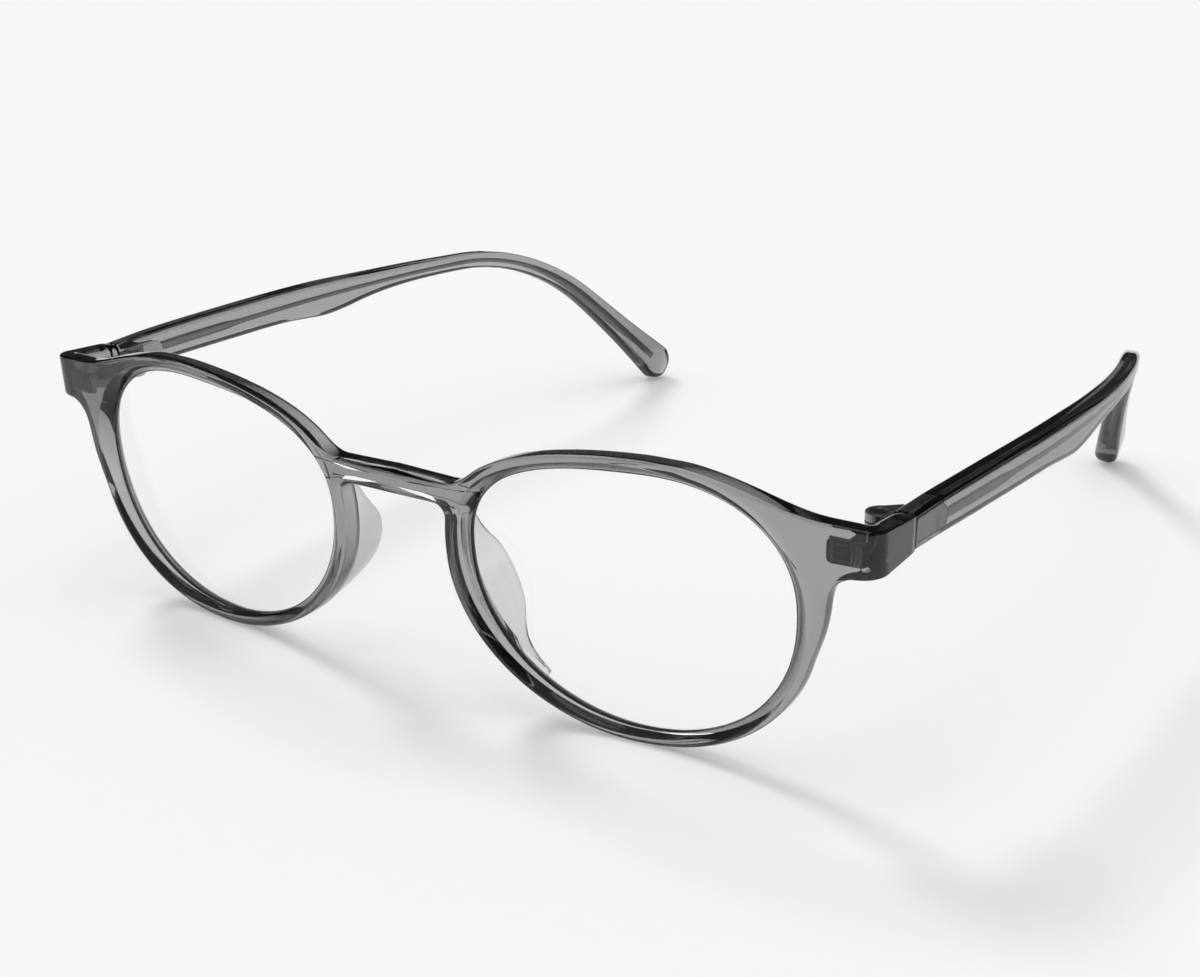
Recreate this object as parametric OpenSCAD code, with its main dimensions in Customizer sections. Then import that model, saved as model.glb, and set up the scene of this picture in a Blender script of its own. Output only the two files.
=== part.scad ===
// Panto eyeglasses in clear grey acetate with real fold-down temples, in millimetres.
// The front faces -Y, up is +Z, and the rims and the temple tips stand on z = 0.
// Left and right are the wearer's, so the left side is +X.

/* [Lens opening] */
// Crown of the opening to its temple side
lip_out = 21.1; // [20.5:0.1:21.5]
// Crown of the opening to its nose side
lip_in = 25.8; // [25.3:0.1:26.2]
// Height of the opening above its widest line
lip_up = 15.4; // [14.6:0.1:15.8]
// Height of the opening below its widest line
lip_down = 21.05; // [20.4:0.05:21.05]
// Distance of the opening's crown from the middle of the bridge
crown_x = 37.85; // [37.6:0.05:38.2]
// Height of the opening's widest line above the table
widest_z = 22.65; // [22.65:0.05:23.0]
// How much the brow line rises on the temple side, as a share of its height
brow_lift = 0.056; // [0:0.004:0.08]

/* [Rim] */
// Radial width of the rim at the top
rim_top_w = 2.35; // [2.1:0.05:2.8]
// Radial width of the rim at the bottom
rim_bottom_w = 1.55; // [1.45:0.05:1.55]
// Radial width of the rim beside the temple
rim_temple_w = 4.2; // [3.8:0.1:4.6]
// Radial width of the rim on the lower temple side
rim_cheek_w = 2.8; // [2.4:0.1:3.2]
// Radial width of the rim beside the nose
rim_nose_w = 3.3; // [3.1:0.1:3.6]
// Depth of the front from the lens plane forward
depth_front = 2.0; // [1.8:0.1:2.2]
// Depth of the front from the lens plane back
depth_back = 1.8; // [1.7:0.1:1.9]
// Wrap of each lens plane about the vertical, degrees
wrap = 4.87; // [3:0.1:6]
// Forward tilt of the top of the front, degrees
tilt = 4.77; // [3.5:0.1:6]

/* [Bridge] */
// Top of the bridge at the middle
bridge_top = 32.3; // [32.0:0.1:32.6]
// Underside of the bridge at the middle
bridge_low = 28.4; // [28.0:0.1:28.8]

/* [Endpiece and temple] */
// Outer face of the endpiece at the seam
seam_x = 70.0; // [69.6:0.1:70.4]
// Joint line between endpiece and temple, behind the lens plane
seam_y = 11.2; // [11.0:0.1:11.4]
// Thickness of endpiece and temple at the seam
arm_t = 3.4; // [3.3:0.05:3.5]
// Radius of the endpiece's vertical front corner
corner_r = 3.0; // [2.0:0.1:3.4]
// Height of the temple's middle line at the seam
arm_z = 32.7; // [32.5:0.1:32.9]
// Radius of the bend over the ear
bend_r = 40; // [36:1:44]
// Length from the seam to the start of the bend
shaft_len = 87; // [80:1:90]
// Slope of the part behind the ear, degrees below level
leg_slope = 45; // [44:0.5:47]
// Radius of the rounded temple tip
tip_r = 3.6; // [3.4:0.1:3.8]

/* [Nose pads] */
// Greatest reach of a pad behind the rim
pad_reach = 7.0; // [6:0.1:7.5]
// Sideways lean of a pad for each millimetre of reach
pad_lean = 0.11; // [0.05:0.01:0.16]
// Thickness of a pad at its root
pad_t = 1.9; // [1.6:0.1:2.0]

/* [Hinge] */
// Distance of the screw's axis inside the endpiece's outer face
pin_in = 5.4; // [5.3:0.05:5.6]
// Distance of the screw's axis behind the seam
pin_back = 0.9; // [0.8:0.05:1.1]
// Radius of the three knuckles
knuckle_r = 1.8; // [1.6:0.05:1.85]
// Radius of the screw's shank
screw_r = 0.65; // [0.5:0.05:0.75]

/* [Core wire] */
// Height of the wire's flat strip behind the hinge
strip_h = 1.45; // [1.2:0.05:1.6]
// Width of the wire through the thickness of the temple
strip_w = 1.0; // [0.8:0.05:1.1]

/* [Hidden] */
// Clearance between pieces that are fixed to each other
fit = 0.03;
// Half of the visible gap at the seam
seam_gap = 0.05;
// The middle of the object's depth, which is moved to y = 0
mid_y = 70.42;
// Middle of the lens opening in plan
lens_cx = crown_x + (lip_out - lip_in) / 2;
// Surface of the front: a shallow arch in plan, tilted about a level line
tilt_z = 20.3;
arch_k = tan(wrap) / (2 * lens_cx);
// Height of the point that all section lines of the rim start from
hub_z = (bridge_top + bridge_low) / 2 - 0.55;
// Fillets where the bridge and the endpiece run into the rim, above and below
fillet_z = hub_z + 0.7;
bridge_fillet_top = 2.0;
bridge_fillet_low = 2.2;
end_fillet_top = 5.0;
end_fillet_low = 7.0;
brow_fade = 10;
// Groove for the lens
groove = 0.5;
groove_half = 0.35;
// Rounding of the rim's outer edges: width on the face, depth down the side
front_round = 0.45;
back_round = 0.8;
back_round_temple = 1.5;
wall_back = 0.5;
wall_back_temple = -0.5;
back_bevel = 1.3;
// Wide rounding along the top of the bridge, and where it runs out beside the bridge
over_w = 1.2;
over_d = 1.5;
over_from = 10.2;
over_fade = 1.6;
// Chamfer along the underside of the bridge, and where it fades out beside the bridge
under_w = 1.6;
under_d = 1.1;
under_from = 9.3;
under_fade = 2.6;
// Endpiece heights where it leaves the rim and at the seam
end_top = 36.1;
end_low = 29.6;
seam_half = 2.5;
seam_top = arm_z + seam_half;
seam_low = arm_z - seam_half;

// Small helpers
function mix(a, b, f) = a + (b - a) * f;
function clamp(v) = min(max(v, 0), 1);
function smooth(v) = let(c = clamp(v)) c * c * (3 - 2 * c);
function unit(v) = v / norm(v);
function fillet_min(a, b, k) = min(a, b) - pow(max(k - abs(a - b), 0), 2) / (4 * k);

// Smooth curve through rows [place, value]: a cubic with slopes from the neighbours
function slope(rows, i) =
    let(a = max(i - 1, 0), b = min(i + 1, len(rows) - 1))
    (rows[b][1] - rows[a][1]) / (rows[b][0] - rows[a][0]);
function span(rows, s, i = 0) =
    (i >= len(rows) - 2 || s < rows[i + 1][0]) ? i : span(rows, s, i + 1);
function curve(rows, s) =
    let(
        i = span(rows, s),
        w = rows[i + 1][0] - rows[i][0],
        u = clamp((s - rows[i][0]) / w),
        p = rows[i][1],
        q = rows[i + 1][1],
        m = slope(rows, i) * w,
        n = slope(rows, i + 1) * w
    )
    p + u * (m + u * (3 * (q - p) - 2 * m - n + u * (2 * (p - q) + m + n)));

// The face surface: y for a place on the front at depth d behind the lens plane
function face_y(x, z, d) = arch_k * (x * x - lens_cx * lens_cx) + d - (z - tilt_z) * tan(tilt);
function face(p, d) = [p[0], face_y(p[0], p[1], d), p[1]];

// Inner corner of the endpiece, the centre that its turned sections share
turn_gap = 0.3;
turn_x = seam_x - arm_t - turn_gap;
turn_y = face_y(turn_x, end_low - 0.4, depth_back) + 0.05;

// Lens opening and rim outline as radii about the lens centre, by angle t
function lip_n(t) = cos(t) >= 0 ? 2.21 : sin(t) >= 0 ? 2.64 : 2.0;
function lip_a(t) = cos(t) >= 0 ? lip_out : lip_in;
function lip_b(t) =
    sin(t) >= 0 ? lip_up * (1 + brow_lift * cos(t)) : lip_down * (1 - brow_lift * cos(t));
function lip_r(t) =
    pow(
        pow(abs(cos(t)) / lip_a(t), lip_n(t)) + pow(abs(sin(t)) / lip_b(t), lip_n(t)),
        -1 / lip_n(t)
    );
function side_part(t) = pow(abs(cos(t)), sin(t) < 0 && cos(t) > 0 ? 2 : 4);
function around(t, top, low, temple, nose) =
    mix(sin(t) >= 0 ? top : low, cos(t) >= 0 ? temple : nose, side_part(t));
function temple_w(t) = mix(rim_cheek_w, rim_temple_w, smooth((sin(t) + 0.3) / 0.4));
function rim_w(t) = around(t, rim_top_w, rim_bottom_w, temple_w(t), rim_nose_w);
function temple_part(t) = cos(t) > 0 ? pow(cos(t), 4) : 0;
function back_w(t) = mix(back_round, back_round_temple, temple_part(t));
function wall_d(t) = mix(wall_back, wall_back_temple, temple_part(t));
function bevel_w(t) = around(t, 1.5, 0.95, 2.0, 1.9);

// Distance of a point from the outline of the whole half front: rim, bridge and endpiece
function polar_t(p) = atan2(p[1] - widest_z, p[0] - crown_x);
function polar_r(p) = norm([p[0] - crown_x, p[1] - widest_z]);
function band_d(z, low, top) = abs(z - (low + top) / 2) - (top - low) / 2;
function bridge_d(p) = band_d(p[1], bridge_low, bridge_top - 0.03 * p[0]);
function end_d(p) = band_d(p[1], end_low, end_top + 0.05 * (turn_x - p[0]));
function brow_fillet(x) = end_fillet_top * max(smooth((x - lens_cx) / brow_fade), 0.002);
function outline_d(p) =
    let(t = polar_t(p), rim = polar_r(p) - lip_r(t) - rim_w(t), up = p[1] > fillet_z)
    p[0] < lens_cx
    ? fillet_min(rim, bridge_d(p), up ? bridge_fillet_top : bridge_fillet_low)
    : fillet_min(rim, end_d(p), up ? brow_fillet(p[0]) : end_fillet_low);
function lip_d(p) = polar_r(p) - lip_r(polar_t(p));

// Walk out from the hub to a boundary by halving the step
function hub_point(a, r) = [lens_cx + r * cos(a), hub_z + r * sin(a)];
ray_from = lip_up / 4;
ray_to = 2 * lens_cx;
function lip_hit(a, lo = ray_from, hi = ray_to, n = 26) =
    let(m = (lo + hi) / 2)
    n == 0 ? m : lip_d(hub_point(a, m)) > 0 ? lip_hit(a, lo, m, n - 1) : lip_hit(a, m, hi, n - 1);
function out_hit(a, lo = ray_from, hi = ray_to, n = 26) =
    let(m = (lo + hi) / 2)
    n == 0
    ? m
    : outline_d(hub_point(a, m)) > 0 ? out_hit(a, lo, m, n - 1) : out_hit(a, m, hi, n - 1);

// Stations round the half front: top, bridge cut, nose side and bottom, endpiece cut
top_n = 40;
cut_n = 4;
low_n = 56;
all_n = top_n + low_n + 2 * cut_n;
function cut_hit(outer, inner, n = 26) =
    let(m = (outer + inner) / 2)
    n == 0 ? m : outline_d([turn_x, m]) > 0 ? cut_hit(m, inner, n - 1) : cut_hit(outer, m, n - 1);
end_mid = (end_top + end_low) / 2;
cut_top = cut_hit(2 * end_top - end_mid, end_mid);
cut_low = cut_hit(2 * end_low - end_mid, end_mid);
end_top_a = atan2(cut_top - hub_z, turn_x - lens_cx);
mid_top_a = 180 - atan2(bridge_top - hub_z, lens_cx);
mid_low_a = 180 + atan2(hub_z - bridge_low, lens_cx);
end_low_a = 360 - atan2(hub_z - cut_low, turn_x - lens_cx);
function ease(u) = u < 0.5 ? 2 * u * u : 1 - 2 * (1 - u) * (1 - u);
function angle_at(i) =
    i < top_n
    ? mix(end_top_a, mid_top_a, ease(i / top_n))
    : i < top_n + cut_n
    ? mix(mid_top_a, mid_low_a, (i - top_n) / cut_n)
    : i < top_n + cut_n + low_n
    ? mix(mid_low_a, end_low_a, ease((i - top_n - cut_n) / low_n))
    : mix(end_low_a, 360 + end_top_a, (i - top_n - cut_n - low_n) / cut_n);

mid_top_i = top_n;
mid_low_i = top_n + cut_n;
end_low_i = top_n + cut_n + low_n;
angles = [for (i = [0:all_n - 1]) angle_at(i)];
lip_pts = [for (a = angles) hub_point(a, lip_hit(a))];

function is_mid(i) = i >= mid_top_i && i <= mid_low_i;
function is_end(i) = i == 0 || i >= end_low_i;
function cut_f(i) = is_mid(i) ? (i - mid_top_i) / cut_n : i == 0 ? 1 : (i - end_low_i) / cut_n;
function cut_pt(i, w) =
    is_mid(i)
    ? [0, mix(bridge_top - w, bridge_low + w, cut_f(i))]
    : [turn_x, mix(cut_low + w, cut_top - w, cut_f(i))];
out_pts = [
    for (i = [0:all_n - 1])
        is_mid(i) || is_end(i) ? cut_pt(i, 0) : hub_point(angles[i], out_hit(angles[i]))
];

// Outward normal of the outline; the cuts keep the normal of the edge that runs into them
function turned(v) = [-v[1], v[0]];
function normal_at(i) =
    i == 0 || i == mid_top_i
    ? [0, 1]
    : i == mid_low_i || i == end_low_i
    ? [0, -1]
    : is_mid(i) || is_end(i)
    ? [0, 0]
    : -unit(turned(out_pts[(i + 1) % all_n] - out_pts[i - 1]));

// One section of the rim, from the groove over the front face and back
function front_cut(i) = is_mid(i) ? mix(over_w, under_w, cut_f(i)) : front_round;
function back_cut(i) = is_mid(i) ? back_round : back_w(polar_t([turn_x, cut_top]));
section_n = 14;
function section_at(i) =
    let(
        lip = lip_pts[i],
        out = out_pts[i],
        e = unit(out - lip),
        n = normal_at(i),
        b = bevel_w(polar_t(lip)),
        under = i >= mid_low_i && i < end_low_i ? smooth((under_from - out[0]) / under_fade) : 0,
        over = i <= mid_top_i ? smooth((over_from - out[0]) / over_fade) : 0,
        fw = mix(mix(front_round, over_w, over), under_w, under),
        fd = mix(mix(0.5, over_d, over), under_d, under),
        front = -depth_front,
        wide = norm(out - lip),
        t = polar_t(out),
        bw = min(back_w(t), 0.5 * wide),
        wall = wall_d(t),
        bd = depth_back - wall,
        recess = min(back_bevel, 0.42 * wide),
        inner_cut = (is_mid(i) && i != mid_top_i && i != mid_low_i) || (is_end(i) && i > end_low_i)
    )
    [
        face(lip + e * groove, 0),
        face(lip, -groove_half),
        face(lip + e * b * 0.5, mix(-groove_half, front, 0.62)),
        face(lip + e * b, front),
        face(inner_cut ? cut_pt(i, front_cut(i)) : out - n * fw, front),
        face(out - n * fw * 0.3, front + fd * 0.4),
        face(out, front + fd),
        face(out, wall),
        face(out - n * bw * 0.134, wall + bd * 0.5),
        face(out - n * bw * 0.5, wall + bd * 0.866),
        face(inner_cut ? cut_pt(i, back_cut(i)) : out - n * bw, depth_back),
        face(lip + e * recess, depth_back),
        face(lip + e * recess * 0.4, mix(groove_half, depth_back, 0.55)),
        face(lip, groove_half)
    ];
grid = [for (i = [0:all_n - 1]) each section_at(i)];

// The loop of points that the endpiece grows from, as station and section numbers
edge_f = 4;
edge_b = 10;
function end_i(j) = (end_low_i + j) % all_n;
loop = concat(
    [for (j = [0:cut_n]) [end_i(j), edge_f]],
    [for (k = [edge_f + 1:edge_b - 1]) [0, k]],
    [for (j = [cut_n:-1:0]) [end_i(j), edge_b]],
    [for (k = [edge_b - 1:-1:edge_f + 1]) [end_low_i, k]]
);
loop_n = len(loop);
function loop_xyz(q) = grid[loop[q][0] * section_n + loop[q][1]];

// The endpiece: sections turned about its inner corner, then straight back to the seam
turns = 6;
function shell_d(x, y, z) =
    let(a = x - (seam_x - corner_r), b = face_y(seam_x - corner_r, z, -depth_front) + corner_r - y)
    norm([max(a, 0), max(b, 0)]) + min(max(a, b), 0) - corner_r;
function turn_hit(a, z, lo = turn_gap, hi = 3 * arm_t, n = 22) =
    let(m = (lo + hi) / 2)
    n == 0
    ? m
    : shell_d(turn_x + m * sin(a), turn_y - m * cos(a), z) > 0
    ? turn_hit(a, z, lo, m, n - 1)
    : turn_hit(a, z, m, hi, n - 1);
function loop_across(q) =
    let(p = loop_xyz(q)) (face_y(p[0], p[2], depth_back) - p[1]) / (depth_front + depth_back);
function loop_up(q) = (loop_xyz(q)[2] - cut_low) / (cut_top - cut_low);
function arm_height(q, f) =
    mix(mix(cut_low, seam_low, f), mix(cut_top, seam_top, f), loop_up(q));
function turn_point(q, j) =
    let(
        f = j / turns,
        a = 90 * f,
        z = arm_height(q, 0.5 * f),
        near = mix(turn_y - face_y(turn_x, z, depth_back), turn_gap, f),
        start = turn_y - face_y(turn_x, z, -depth_front),
        far = mix(start, turn_hit(a, z), smooth(3 * f)),
        r = mix(near, far, loop_across(q))
    )
    [turn_x + r * sin(a), turn_y - r * cos(a), z];
function side_point(q, y, f, inset) =
    let(
        c = loop_across(q),
        x = mix(seam_x - arm_t, seam_x, c),
        z = arm_height(q, f),
        zc = (seam_top + seam_low) / 2,
        xc = seam_x - arm_t / 2
    )
    [
        mix(x, xc, inset / (arm_t / 2)),
        y,
        mix(z, zc, inset / ((seam_top - seam_low) / 2))
    ];
front_seam = seam_y - seam_gap;
rings = concat(
    [for (j = [1:turns]) [for (q = [0:loop_n - 1]) turn_point(q, j)]],
    [[for (q = [0:loop_n - 1]) side_point(q, mix(turn_y, front_seam, 0.5), 0.75, 0)]],
    [[for (q = [0:loop_n - 1]) side_point(q, front_seam - 0.15, 1, 0)]],
    [[for (q = [0:loop_n - 1]) side_point(q, front_seam, 1, 0.12)]]
);
ring_n = len(rings);
half = concat(grid, [for (r = rings) each r]);
half_n = len(half);

// Numbers of the vertices on side 0 and its mirror side 1, which share the middle plane
function vertex(v, side) = side == 1 && half[v][0] != 0 ? v + half_n : v;
function grid_v(i, k) = (i % all_n) * section_n + k % section_n;
function ring_v(j, q) =
    let(w = q % loop_n)
    j == 0 ? loop[w][0] * section_n + loop[w][1] : len(grid) + (j - 1) * loop_n + w;
function is_open(i, k) =
    k >= edge_f
    && k < edge_b
    && ((i >= mid_top_i && i < mid_low_i) || i >= end_low_i);
function quad(a, b, c, d) = [[a, b, c], [a, c, d]];
half_faces = concat(
    [
        for (i = [0:all_n - 1], k = [0:section_n - 1])
            if (!is_open(i, k))
                each quad(
                    grid_v(i + 1, k), grid_v(i + 1, k + 1), grid_v(i, k + 1), grid_v(i, k)
                )
    ],
    [
        for (j = [0:ring_n - 1], q = [0:loop_n - 1])
            each quad(
                ring_v(j, q), ring_v(j, q + 1), ring_v(j + 1, q + 1), ring_v(j + 1, q)
            )
    ],
    [[for (q = [0:loop_n - 1]) ring_v(ring_n, q)]]
);
front_pts = concat(half, [for (p = half) [-p[0], p[1], p[2]]]);
front_faces = concat(
    half_faces,
    [for (f = half_faces) [for (n = [len(f) - 1:-1:0]) vertex(f[n], 1)]]
);

// A closed skin over a row of equal loops of points, with a strip of triangles over each end
function strip(i, j) =
    j - i > 2 ? quad(i, i + 1, j - 1, j) : j - i == 2 ? [[i, i + 1, j]] : [];
function cap_faces(first, n) =
    [for (i = [0:floor(n / 2) - 1]) each strip(first + i, first + n - 1 - i)];
function flipped(faces) = [for (f = faces) [f[2], f[1], f[0]]];
function skin_faces(rows, n) = concat(
    flipped(cap_faces(0, n)),
    [
        for (i = [0:rows - 2], q = [0:n - 1])
            each quad(
                i * n + q, i * n + (q + 1) % n, (i + 1) * n + (q + 1) % n, (i + 1) * n + q
            )
    ],
    cap_faces((rows - 1) * n, n)
);
module skin(loops) {
    polyhedron([for (l = loops) each l], skin_faces(len(loops), len(loops[0])), convexity = 8);
}

// Lens: an edge that sits in the groove and two curved faces
lens_t = 1.7;
lens_bulge = 1.9;
lens_sides = 48;
function lens_place(t, grow, shrink, d) =
    let(
        r = (lip_r(t) + grow) * shrink,
        p = [crown_x + r * cos(t), widest_z + r * sin(t)],
        s = clamp(r / lip_r(t))
    )
    face(p, d - lens_bulge * (1 - s * s));
lens_steps = [
    [-0.08, 0.3, -lens_t / 2],
    [-0.08, 0.6, -lens_t / 2],
    [-0.08, 0.85, -lens_t / 2],
    [-0.08, 1, -lens_t / 2],
    [-0.08, 1, -groove_half + fit],
    [groove - 2 * fit, 1, 0],
    [-0.08, 1, groove_half - fit],
    [-0.08, 1, lens_t / 2],
    [-0.08, 0.85, lens_t / 2],
    [-0.08, 0.6, lens_t / 2],
    [-0.08, 0.3, lens_t / 2]
];
lens_loops = [
    for (s = lens_steps)
        [for (n = [0:lens_sides - 1]) lens_place(360 * n / lens_sides, s[0], s[1], s[2])]
];

// Nose pad: a thin fin that leans towards the lens
pad_rows = 24;
pad_from = 170;
pad_to = 228;
pad_seat = 0.06;
function rim_place(t) =
    let(r = lip_r(t) + rim_w(t)) [crown_x + r * cos(t), widest_z + r * sin(t)];
pad_profile = [
    [0, 0.06], [0.12, 0.39], [0.26, 0.83], [0.42, 1], [0.58, 0.88], [0.78, 0.31], [1, 0.04]
];
function pad_height(u) = pad_reach * curve(pad_profile, u);
function pad_loop(u) =
    let(
        t = mix(pad_from, pad_to, u),
        p = rim_place(t),
        n = unit(turned(rim_place(t - 0.5) - rim_place(t + 0.5))),
        bw = back_w(t),
        wall = wall_d(t),
        bd = depth_back - wall,
        h = pad_height(u) + depth_back,
        start = 0.27 * bw,
        end = start + pad_t,
        mid = (start + end) / 2,
        foot = wall + bd * 0.636,
        rise = h - foot
    )
    [
        for (
            c = [
                [start, foot + pad_seat],
                [mid - pad_t * 0.47, foot + rise * 0.45],
                [mid - pad_t * 0.42, foot + rise * 0.8],
                [mid - pad_t * 0.28, foot + rise * 0.95],
                [mid, h],
                [mid + pad_t * 0.28, h - 0.05 * rise],
                [mid + pad_t * 0.42, h - 0.2 * rise],
                [mid + pad_t * 0.47, h - 0.45 * rise],
                [end, depth_back + pad_seat],
                [bw, depth_back + pad_seat],
                [0.5 * bw, wall + bd * 0.866 + pad_seat]
            ]
        )
            face(p - n * (c[0] + pad_lean * max(c[1] - depth_back, 0)), c[1])
    ];

// Temple: a middle line of shaft, bend and leg, seen from the side
shaft_slope = 0.98;
bend_len = bend_r * (leg_slope - shaft_slope) * PI / 180;
bend_y = seam_y + shaft_len * cos(shaft_slope);
bend_z = arm_z - shaft_len * sin(shaft_slope);
leg_y = bend_y + bend_r * (sin(leg_slope) - sin(shaft_slope));
leg_z = bend_z - bend_r * (cos(shaft_slope) - cos(leg_slope));
leg_len = (leg_z - tip_r - 0.11) / sin(leg_slope);
path_len = shaft_len + bend_len + leg_len;
function path_slope(s) =
    shaft_slope + (leg_slope - shaft_slope) * clamp((s - shaft_len) / bend_len);
function path_y(s) =
    s < shaft_len
    ? seam_y + s * cos(shaft_slope)
    : s < shaft_len + bend_len
    ? bend_y + bend_r * (sin(path_slope(s)) - sin(shaft_slope))
    : leg_y + (s - shaft_len - bend_len) * cos(leg_slope);
function path_z(s) =
    s < shaft_len
    ? arm_z - s * sin(shaft_slope)
    : s < shaft_len + bend_len
    ? bend_z - bend_r * (cos(shaft_slope) - cos(path_slope(s)))
    : leg_z - (s - shaft_len - bend_len) * sin(leg_slope);
// Outer face in plan, then half heights above and below the middle line, then thickness
curl_rows = [
    [0, 0], [20, 0.85], [47, 1.3], [70, -0.1], [85, -2.5],
    [97, -5.8], [110, -10.0], [124, -14.4], [148, -20.6]
];
up_rows = [
    [0, seam_half - 0.05], [9, 2.85], [24, 2.95], [43, 2.85], [51, 2.7], [61, 2.3],
    [73, 1.95], [86, 1.6], [103, 1.65], [118, 2.0], [130, 2.6], [141, tip_r]
];
down_rows = [
    [0, seam_half], [9, 2.4], [28, 2.55], [40, 2.7], [46, 3.1], [51, 3.45], [56, 3.1], [61, 2.4],
    [67, 1.8], [75, 1.45], [86, 1.35], [103, 1.65], [118, 2.0], [130, 2.6], [141, tip_r]
];
thin_rows = [[0, 0], [60, -0.1], [90, -0.4], [110, -0.2], [141, 0.8]];
function outer_x(s) = seam_x + curve(curl_rows, s);
function up_h(s) = curve(up_rows, s);
function down_h(s) = curve(down_rows, s);
function thick(s) = arm_t + curve(thin_rows, s);

// Frame of the section at s: its centre, its outward side and its up side
function path_xyz(s) = [outer_x(s) - thick(s) / 2, path_y(s), path_z(s)];
function level_part(s) = smooth(s / 6);
function path_dir(s) = unit(path_xyz(s + 0.5) - path_xyz(s - 0.5));
function up_dir(s) =
    let(a = path_slope(s) * level_part(s)) [0, sin(a), cos(a)];
function out_dir(s) =
    let(d = cross(path_dir(s), up_dir(s)))
    unit(mix([1, 0, 0], d, level_part(s)));
function place(s, w, h) = path_xyz(s) + out_dir(s) * w + up_dir(s) * h;

// Corners of a rounded bar, each in four points
corner_steps = [[0, 0.27, 1], [0, 0.62, 0.8], [0, 0.8, 0.62], [0, 1, 0.27]];
function bar_corner(w, h, r, sx, sy) =
    let(a = [for (c = corner_steps) [sx * (w - r * (1 - c[1])), sy * (h - r * (1 - c[2]))]])
    sx * sy > 0 ? [for (n = [3:-1:0]) a[n]] : a;
function bar(w, up, low, r) = concat(
    bar_corner(w, up, r, 1, 1),
    bar_corner(w, up, r, -1, 1),
    bar_corner(w, low, r, -1, -1),
    bar_corner(w, low, r, 1, -1)
);
// Rounding of the leg's edges; the shaft's edges are rounded less
leg_round = 1.5;
function temple_loop(s, cap) =
    let(
        grow = sqrt(max(1 - cap * cap, 0)),
        w = thick(s) / 2 * mix(0.25, 1, grow),
        r = min(mix(0.9, leg_round, smooth((s - shaft_len) / bend_len)), thick(s) / 2 * 0.75)
    )
    [for (c = bar(w, up_h(s) * grow, down_h(s) * grow, r * mix(0.2, 1, grow))) place(s, c[0], c[1])];
temple_rows = 58;
temple_stations = concat(
    [[0, 0]],
    [for (n = [1:temple_rows]) [path_len * n / temple_rows, 0]],
    [for (c = [0.3, 0.55, 0.76, 0.9, 0.97]) [path_len + tip_r * c, c]]
);
function temple_end(s, inset) =
    [
        for (c = bar(thick(0) / 2 - inset, up_h(0) - inset, down_h(0) - inset, 0.9))
            [seam_x - thick(0) / 2 + c[0], seam_y + s, arm_z + c[1]]
    ];
temple_loops = concat(
    [temple_end(seam_gap, 0.12), temple_end(seam_gap + 0.15, 0)],
    [for (n = [1:len(temple_stations) - 1]) temple_loop(temple_stations[n][0], temple_stations[n][1])]
);

// Core wire: a flat strip that steps down to a thin wire and widens again in the leg
wire_from = 10.0;
wire_to = path_len - 1.6;
wire_rows = 44;
wire_h_rows = [[9, strip_h], [25, strip_h], [30, 0.85], [100, 0.8], [116, 1.2], [150, 1.3]];
wire_w_rows = [[9, strip_w], [25, strip_w], [32, 0.8], [150, 0.8]];
function wire_h(s) = curve(wire_h_rows, s);
function wire_w(s) = curve(wire_w_rows, s);
function wire_loop(s, grow) =
    let(w = wire_w(s) / 2 + grow, h = wire_h(s) / 2 + grow, c = 0.6)
    [
        for (
            p = [
                [w, -h * c], [w, h * c], [w * c, h], [-w * c, h],
                [-w, h * c], [-w, -h * c], [-w * c, -h], [w * c, -h]
            ]
        )
            place(s, p[0], p[1])
    ];
function wire_loops(from, to, grow) =
    [for (n = [0:wire_rows]) wire_loop(mix(from, to, n / wire_rows), grow)];

// Hinge: the axis, then the levels of a three-part barrel about its middle height
pin_x = seam_x - pin_in;
pin_y = seam_y + pin_back;
hinge_z = arm_z - 0.2;
knuckle_top = hinge_z + 1.9;
knuckle_low = hinge_z - 1.9;
mid_low = hinge_z - 0.6;
mid_high = hinge_z + 0.6;
knuckle_gap = 0.05;
head_r = 1.1;
head_z = knuckle_top - 0.65;
// Plate of the temple leaf, sunk in the temple's inner face
plate_low = hinge_z - 2.0;
plate_high = hinge_z + 1.5;
plate_end = seam_y + 9.8;
plate_deep = 1.75;
web_sink = 0.3;
// Anchor plate of the front leaf, sunk in the back of the endpiece
anchor_in = pin_x - 2.2;
anchor_out = pin_x + 2.4;
anchor_low = hinge_z - 1.9;
anchor_high = hinge_z + 1.3;
anchor_sunk = 1.4;
anchor_y = face_y(pin_x, hinge_z, depth_back) - anchor_sunk;
anchor_proud = 1.7;

// Sunk plate of the temple leaf, seen from the side and pushed through the thickness
module plate(grow) {
    r = (plate_high - plate_low) / 2;
    translate([seam_x - arm_t - 0.02, 0, (plate_high + plate_low) / 2])
    translate([0, seam_y + 0.2, 0])
    rotate([0, 0, -2.4])
    rotate([90, 0, 90])
    translate([0, 0, -grow * 12])
    linear_extrude(plate_deep + grow * 13)
    union() {
        translate([-grow * 12, -r - grow])
        square([plate_end - seam_y - 0.2 - r + grow * 12, 2 * (r + grow)]);
        translate([plate_end - seam_y - 0.2 - r, 0])
        circle(r + grow, $fn = 36);
    }
}

// Anchor of the front leaf: a plate in the back of the rim with its end in the endpiece
module anchor(grow) {
    high = anchor_high - anchor_low + 2 * grow;
    translate([anchor_in - grow, anchor_y - grow, anchor_low - grow])
    cube([anchor_out - anchor_in + 2 * grow, anchor_sunk + 2 * grow, high]);
    translate([anchor_in - grow, anchor_y - grow, anchor_low - grow])
    cube([seam_x - arm_t - anchor_in - 0.1 + 2 * grow, anchor_proud + 20 * grow, high]);
}

module ring_bore(z0, z1, r) {
    translate([pin_x, pin_y, z0])
    cylinder(h = z1 - z0, r = r, $fn = 48);
}

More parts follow.
